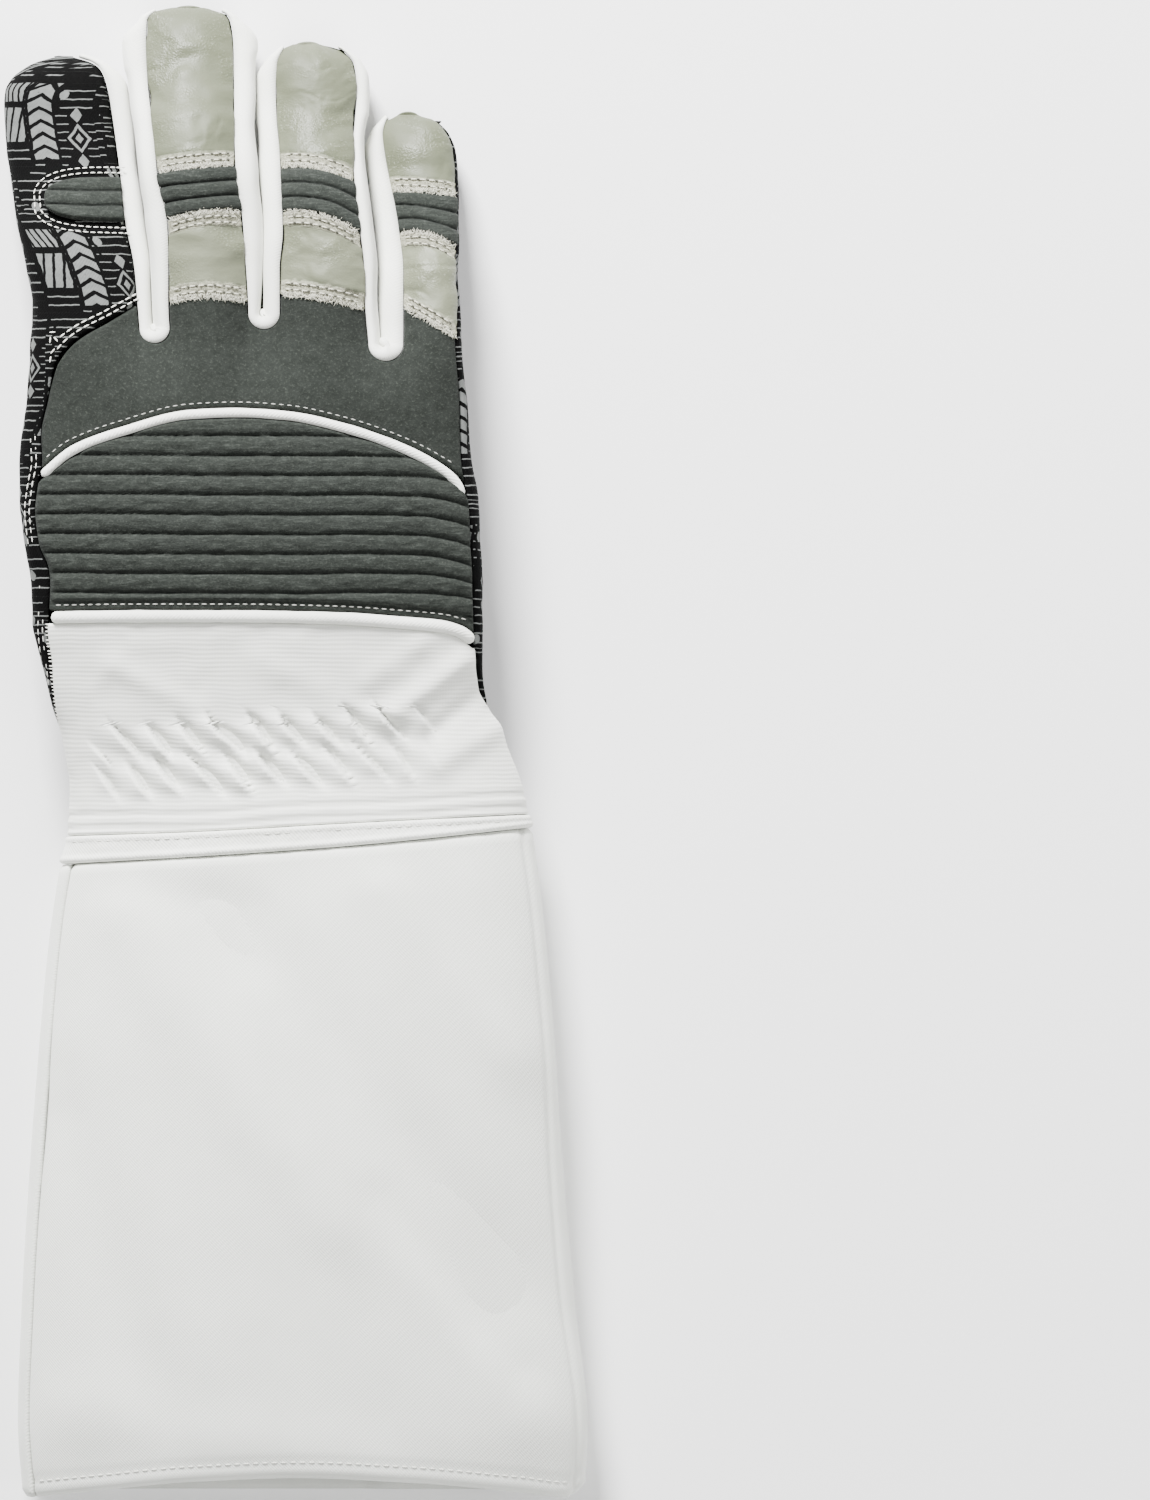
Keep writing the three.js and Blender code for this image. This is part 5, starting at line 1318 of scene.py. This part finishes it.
def leather_fuzz(name, node, k, edges, seed):
    """Short loose fibres of the raw suede edges."""
    rng = np.random.default_rng(seed)
    C, A, L = [], [], []
    for row, side in edges:
        x, y = on_band(k, row, 0.0, inset=0.1)
        n = int(abs(x[-1] - x[0]) * FIBRES_PER_MM)
        t, along = rng.uniform(0, 1, n), np.linspace(0, 1, len(x))
        px = np.interp(t, along, x)
        py = np.interp(t, along, y) + side * rng.uniform(-0.5, 0.9, n)
        p, up = surface_frame(px, py)
        a = rng.normal(-side * math.pi / 2, 0.9, n)
        A.append(np.stack([np.cos(a), np.sin(a), rng.uniform(-0.25, 0.45, n)], -1))
        C.append(p + up * rng.uniform(0.1, 0.5, n)[:, None])
        L.append(rng.uniform(0.5, 1.9, n))
    C, A, L = (np.concatenate(v) for v in (C, A, L))
    up = np.tile([0.0, 0.0, 1.0], (len(C), 1))
    capsules(name, C, A, up, L, 0.075, "fibre", node, rings=3, sides=4, flat=1.0)


FIBRES_PER_MM = 13
for _i, (_n, _b) in enumerate([("middle", MIDDLE_BANDS), ("ring", RING_BANDS), ("little", LITTLE_BANDS)]):
    _parts = [("_tip", "_tip_leather", [(_b[0], 1)], 300), ("_band", "_leather_band", [(_b[1], -1), (_b[2], 1)], 310)]
    for _part, _node, _edges, _ in _parts:
        leather_rows(_n + _part, _n + _node, 2 * _i + 2, _edges)
    for _part, _node, _edges, _seed in _parts:
        leather_fuzz(_n + _part + "_fuzz", _n + _node, 2 * _i + 2, _edges, _seed + _i)


def left_ring(g, y):
    return ring_point(edge_angle(-1, g, y), y)


def patch_outline(d):
    """Plan outline of the index patch, d outside its edge."""
    u = np.concatenate([np.linspace(0, 1, 60), np.linspace(1, 0, 60)[1:]])
    x, y = patch_point(u, np.concatenate([np.ones(60), -np.ones(59)]))
    mx, my = -135 * PL, PATCH_Y * PL
    k = 1 + d / np.hypot(x - mx, y - my)
    return mx + (x - mx) * k, my + (y - my) * np.maximum(k, 1 + d / (PATCH_HALF * PL))


def zigzag(x0, x1, low, high, wave):
    n = int((x1 - x0) / wave * 2)
    i, at = np.arange(n + 1), np.linspace(0, n, n * 8)
    return np.interp(at, i, np.linspace(x0, x1, n + 1)), np.interp(at, i, np.where(i % 2, high, low))


def measured(row):
    """Height on the glove of a pixel row of the palm view."""
    return (HEM_PIXEL - row) / PIXELS_PER_PART * PL


HEM_PIXEL, PIXELS_PER_PART = 1496, 1.494
_seam_y = np.linspace(452 * PL, 742 * PL, 200)
_wrist_y = np.linspace(446 * PL, 588 * PL, 160)
_deg = np.linspace(-50, -190, 120)
_end = leather_end((_deg + 42.8) / (-197 + 43.6))
_arc = np.radians(np.linspace(-60, 88, 120))
_palm_rows = [zigzag(-52, 44, measured(b), measured(a), 10.4) for a, b in ((737, 762), (773, 795))]
_palm_rows += [(np.linspace(-55, 50, 200), np.full(200, measured(v))) for v in (820, 844)]

# Each row: name, surface, paths, thread, node, slot, then pitch, length, radius and rise, then the rest
for _row, _rest in [(("knuckle_stitches", top_at, [on_curve(piping_line, -166, 109, PR + 1.5)],
                    "dull_thread", "knuckle_panel", "neoprene", 2.1, 1.2, 0.15, 0.1), {}),
                    (("rib_stitches", top_at, [on_curve(binding_line, -160, 116, 3.2)], "dull_thread",
                    "rib_panel", "ribbed_cloth", 2.1, 1.3, 0.18, 0.1), {}),
                    (("seam_rows", left_ring, [(left_seam(_seam_y) - d, _seam_y) for d in (1.1, 2.3)],
                    "thread", "index_cloth", "printed_cloth", 2.4, 1.7, 0.2, 0.12),
                    {"outward": -1, "steps": (0.2, 0.3)}), (("index_root_rows", top_at,
                    [on_curve(knuckle_top, -163, -104, d, 90) for d in (1.2, 2.5)], "thread", "index_cloth",
                    "printed_cloth", 2.2, 1.6, 0.21, 0.15), {}),
                    (("wrist_overlock", left_ring, [(left_seam(_wrist_y) + 0.1, _wrist_y)], "thread",
                    "wrist_panel", "white_knit", 1.0, 1.1, 0.2, 0.1),
                    {"outward": -1, "across": True, "jitter": 0.2, "steps": (0.2, 0.3)}),
                    (("index_patch_rows", top_at, [patch_outline(1.5), patch_outline(2.9)], "thread",
                    "index_cloth", "printed_cloth", 1.9, 1.35, 0.2, 0.2), {}),
                    (("thumb_rows", thumb_point, [(_deg, _end - k) for k in (0.14, 0.26)], "thread",
                    "thumb_tip_leather", "leather", 2.2, 1.6, 0.2, 0.3), {"steps": (1.0, 0.05)}),
                    (("thumb_seam_rows", palm_at, [(-36 + (28.5 + k) * np.sin(_arc),
                    236 - (23.5 + k) * np.cos(_arc)) for k in (0, 1.9)], "thread", "palm_cloth",
                    "printed_cloth", 2.3, 1.7, 0.2, 0.15), {"outward": -1}),
                    (("band_rows", top_at, [on_curve(band_top, -150, 150, -1.6),
                    on_curve(band_bottom, -150, 150, 1.3)], "thread", "wrist_seam_band", "white_binding",
                    2.6, 1.5, 0.17, 0.12), {}), (("hem_row", hem_at,
                    [on_curve(hem_line, -172, 184, HEM_ROW)], "thread", "cuff_back", "cuff_cloth", 2.4, 1.5,
                    0.22, 0.12), {}), (("palm_wrist_stitches", palm_at, _palm_rows, "thread", "palm_cloth",
                    "printed_cloth", 2.1, 1.5, 0.18, 0.12), {"outward": -1}), ]:
    stitches_on(*_row, **_rest)

# Floor, light, camera
PIXEL = 0.2577  # millimetres on the glove
PHOTO_HIGH, PHOTO_MIDDLE, GLOVE_MIDDLE = 1500, 575, 295
SENSOR, LENS, SHARP_PLANE = 24.0, 300.0, 0.018
WORLD = 0.58
LIGHTS = [("key", (-0.3, 1.2, 0.8), 0.4, 108), ("fill", (0.95, -0.5, 1.2), 1.2, 16)]


def stage():
    mesh = bpy.data.meshes.new("floor")
    s = 3.0
    mesh.from_pydata([(-s, -s, 0), (s, -s, 0), (s, s, 0), (-s, s, 0)], [], [(0, 1, 2, 3)])
    floor = bpy.data.objects.new("floor", mesh)
    bpy.context.scene.collection.objects.link(floor)
    m, _, b = material("floor")
    b.inputs["Base Color"].default_value = (1.0, 1.0, 1.0, 1)
    b.inputs["Roughness"].default_value = 0.9
    mesh.materials.append(m)
    w = bpy.data.worlds.new("studio")
    bpy.context.scene.world = w
    w.use_nodes = True
    sky = w.node_tree.nodes["Background"]
    sky.inputs[0].default_value = (1, 1, 1, 1)
    sky.inputs[1].default_value = WORLD
    for name, loc, size, power in LIGHTS:
        d = bpy.data.lights.new(name, "AREA")
        d.size = size
        d.energy = power
        o = bpy.data.objects.new(name, d)
        o.location = loc
        o.rotation_euler = (Vector((0, 0, 0)) - Vector(loc)).to_track_quat("-Z", "Y").to_euler()
        bpy.context.scene.collection.objects.link(o)
    cam = bpy.data.cameras.new("camera")
    cam.sensor_fit = "VERTICAL"
    cam.sensor_height = SENSOR
    cam.lens = LENS
    c = bpy.data.objects.new("camera", cam)
    c.location = ((PHOTO_MIDDLE - GLOVE_MIDDLE) * PIXEL / 1000, 0.0,
                  PHOTO_HIGH * PIXEL / 1000 * LENS / SENSOR + SHARP_PLANE)
    bpy.context.scene.collection.objects.link(c)
    bpy.context.scene.camera = c


stage()
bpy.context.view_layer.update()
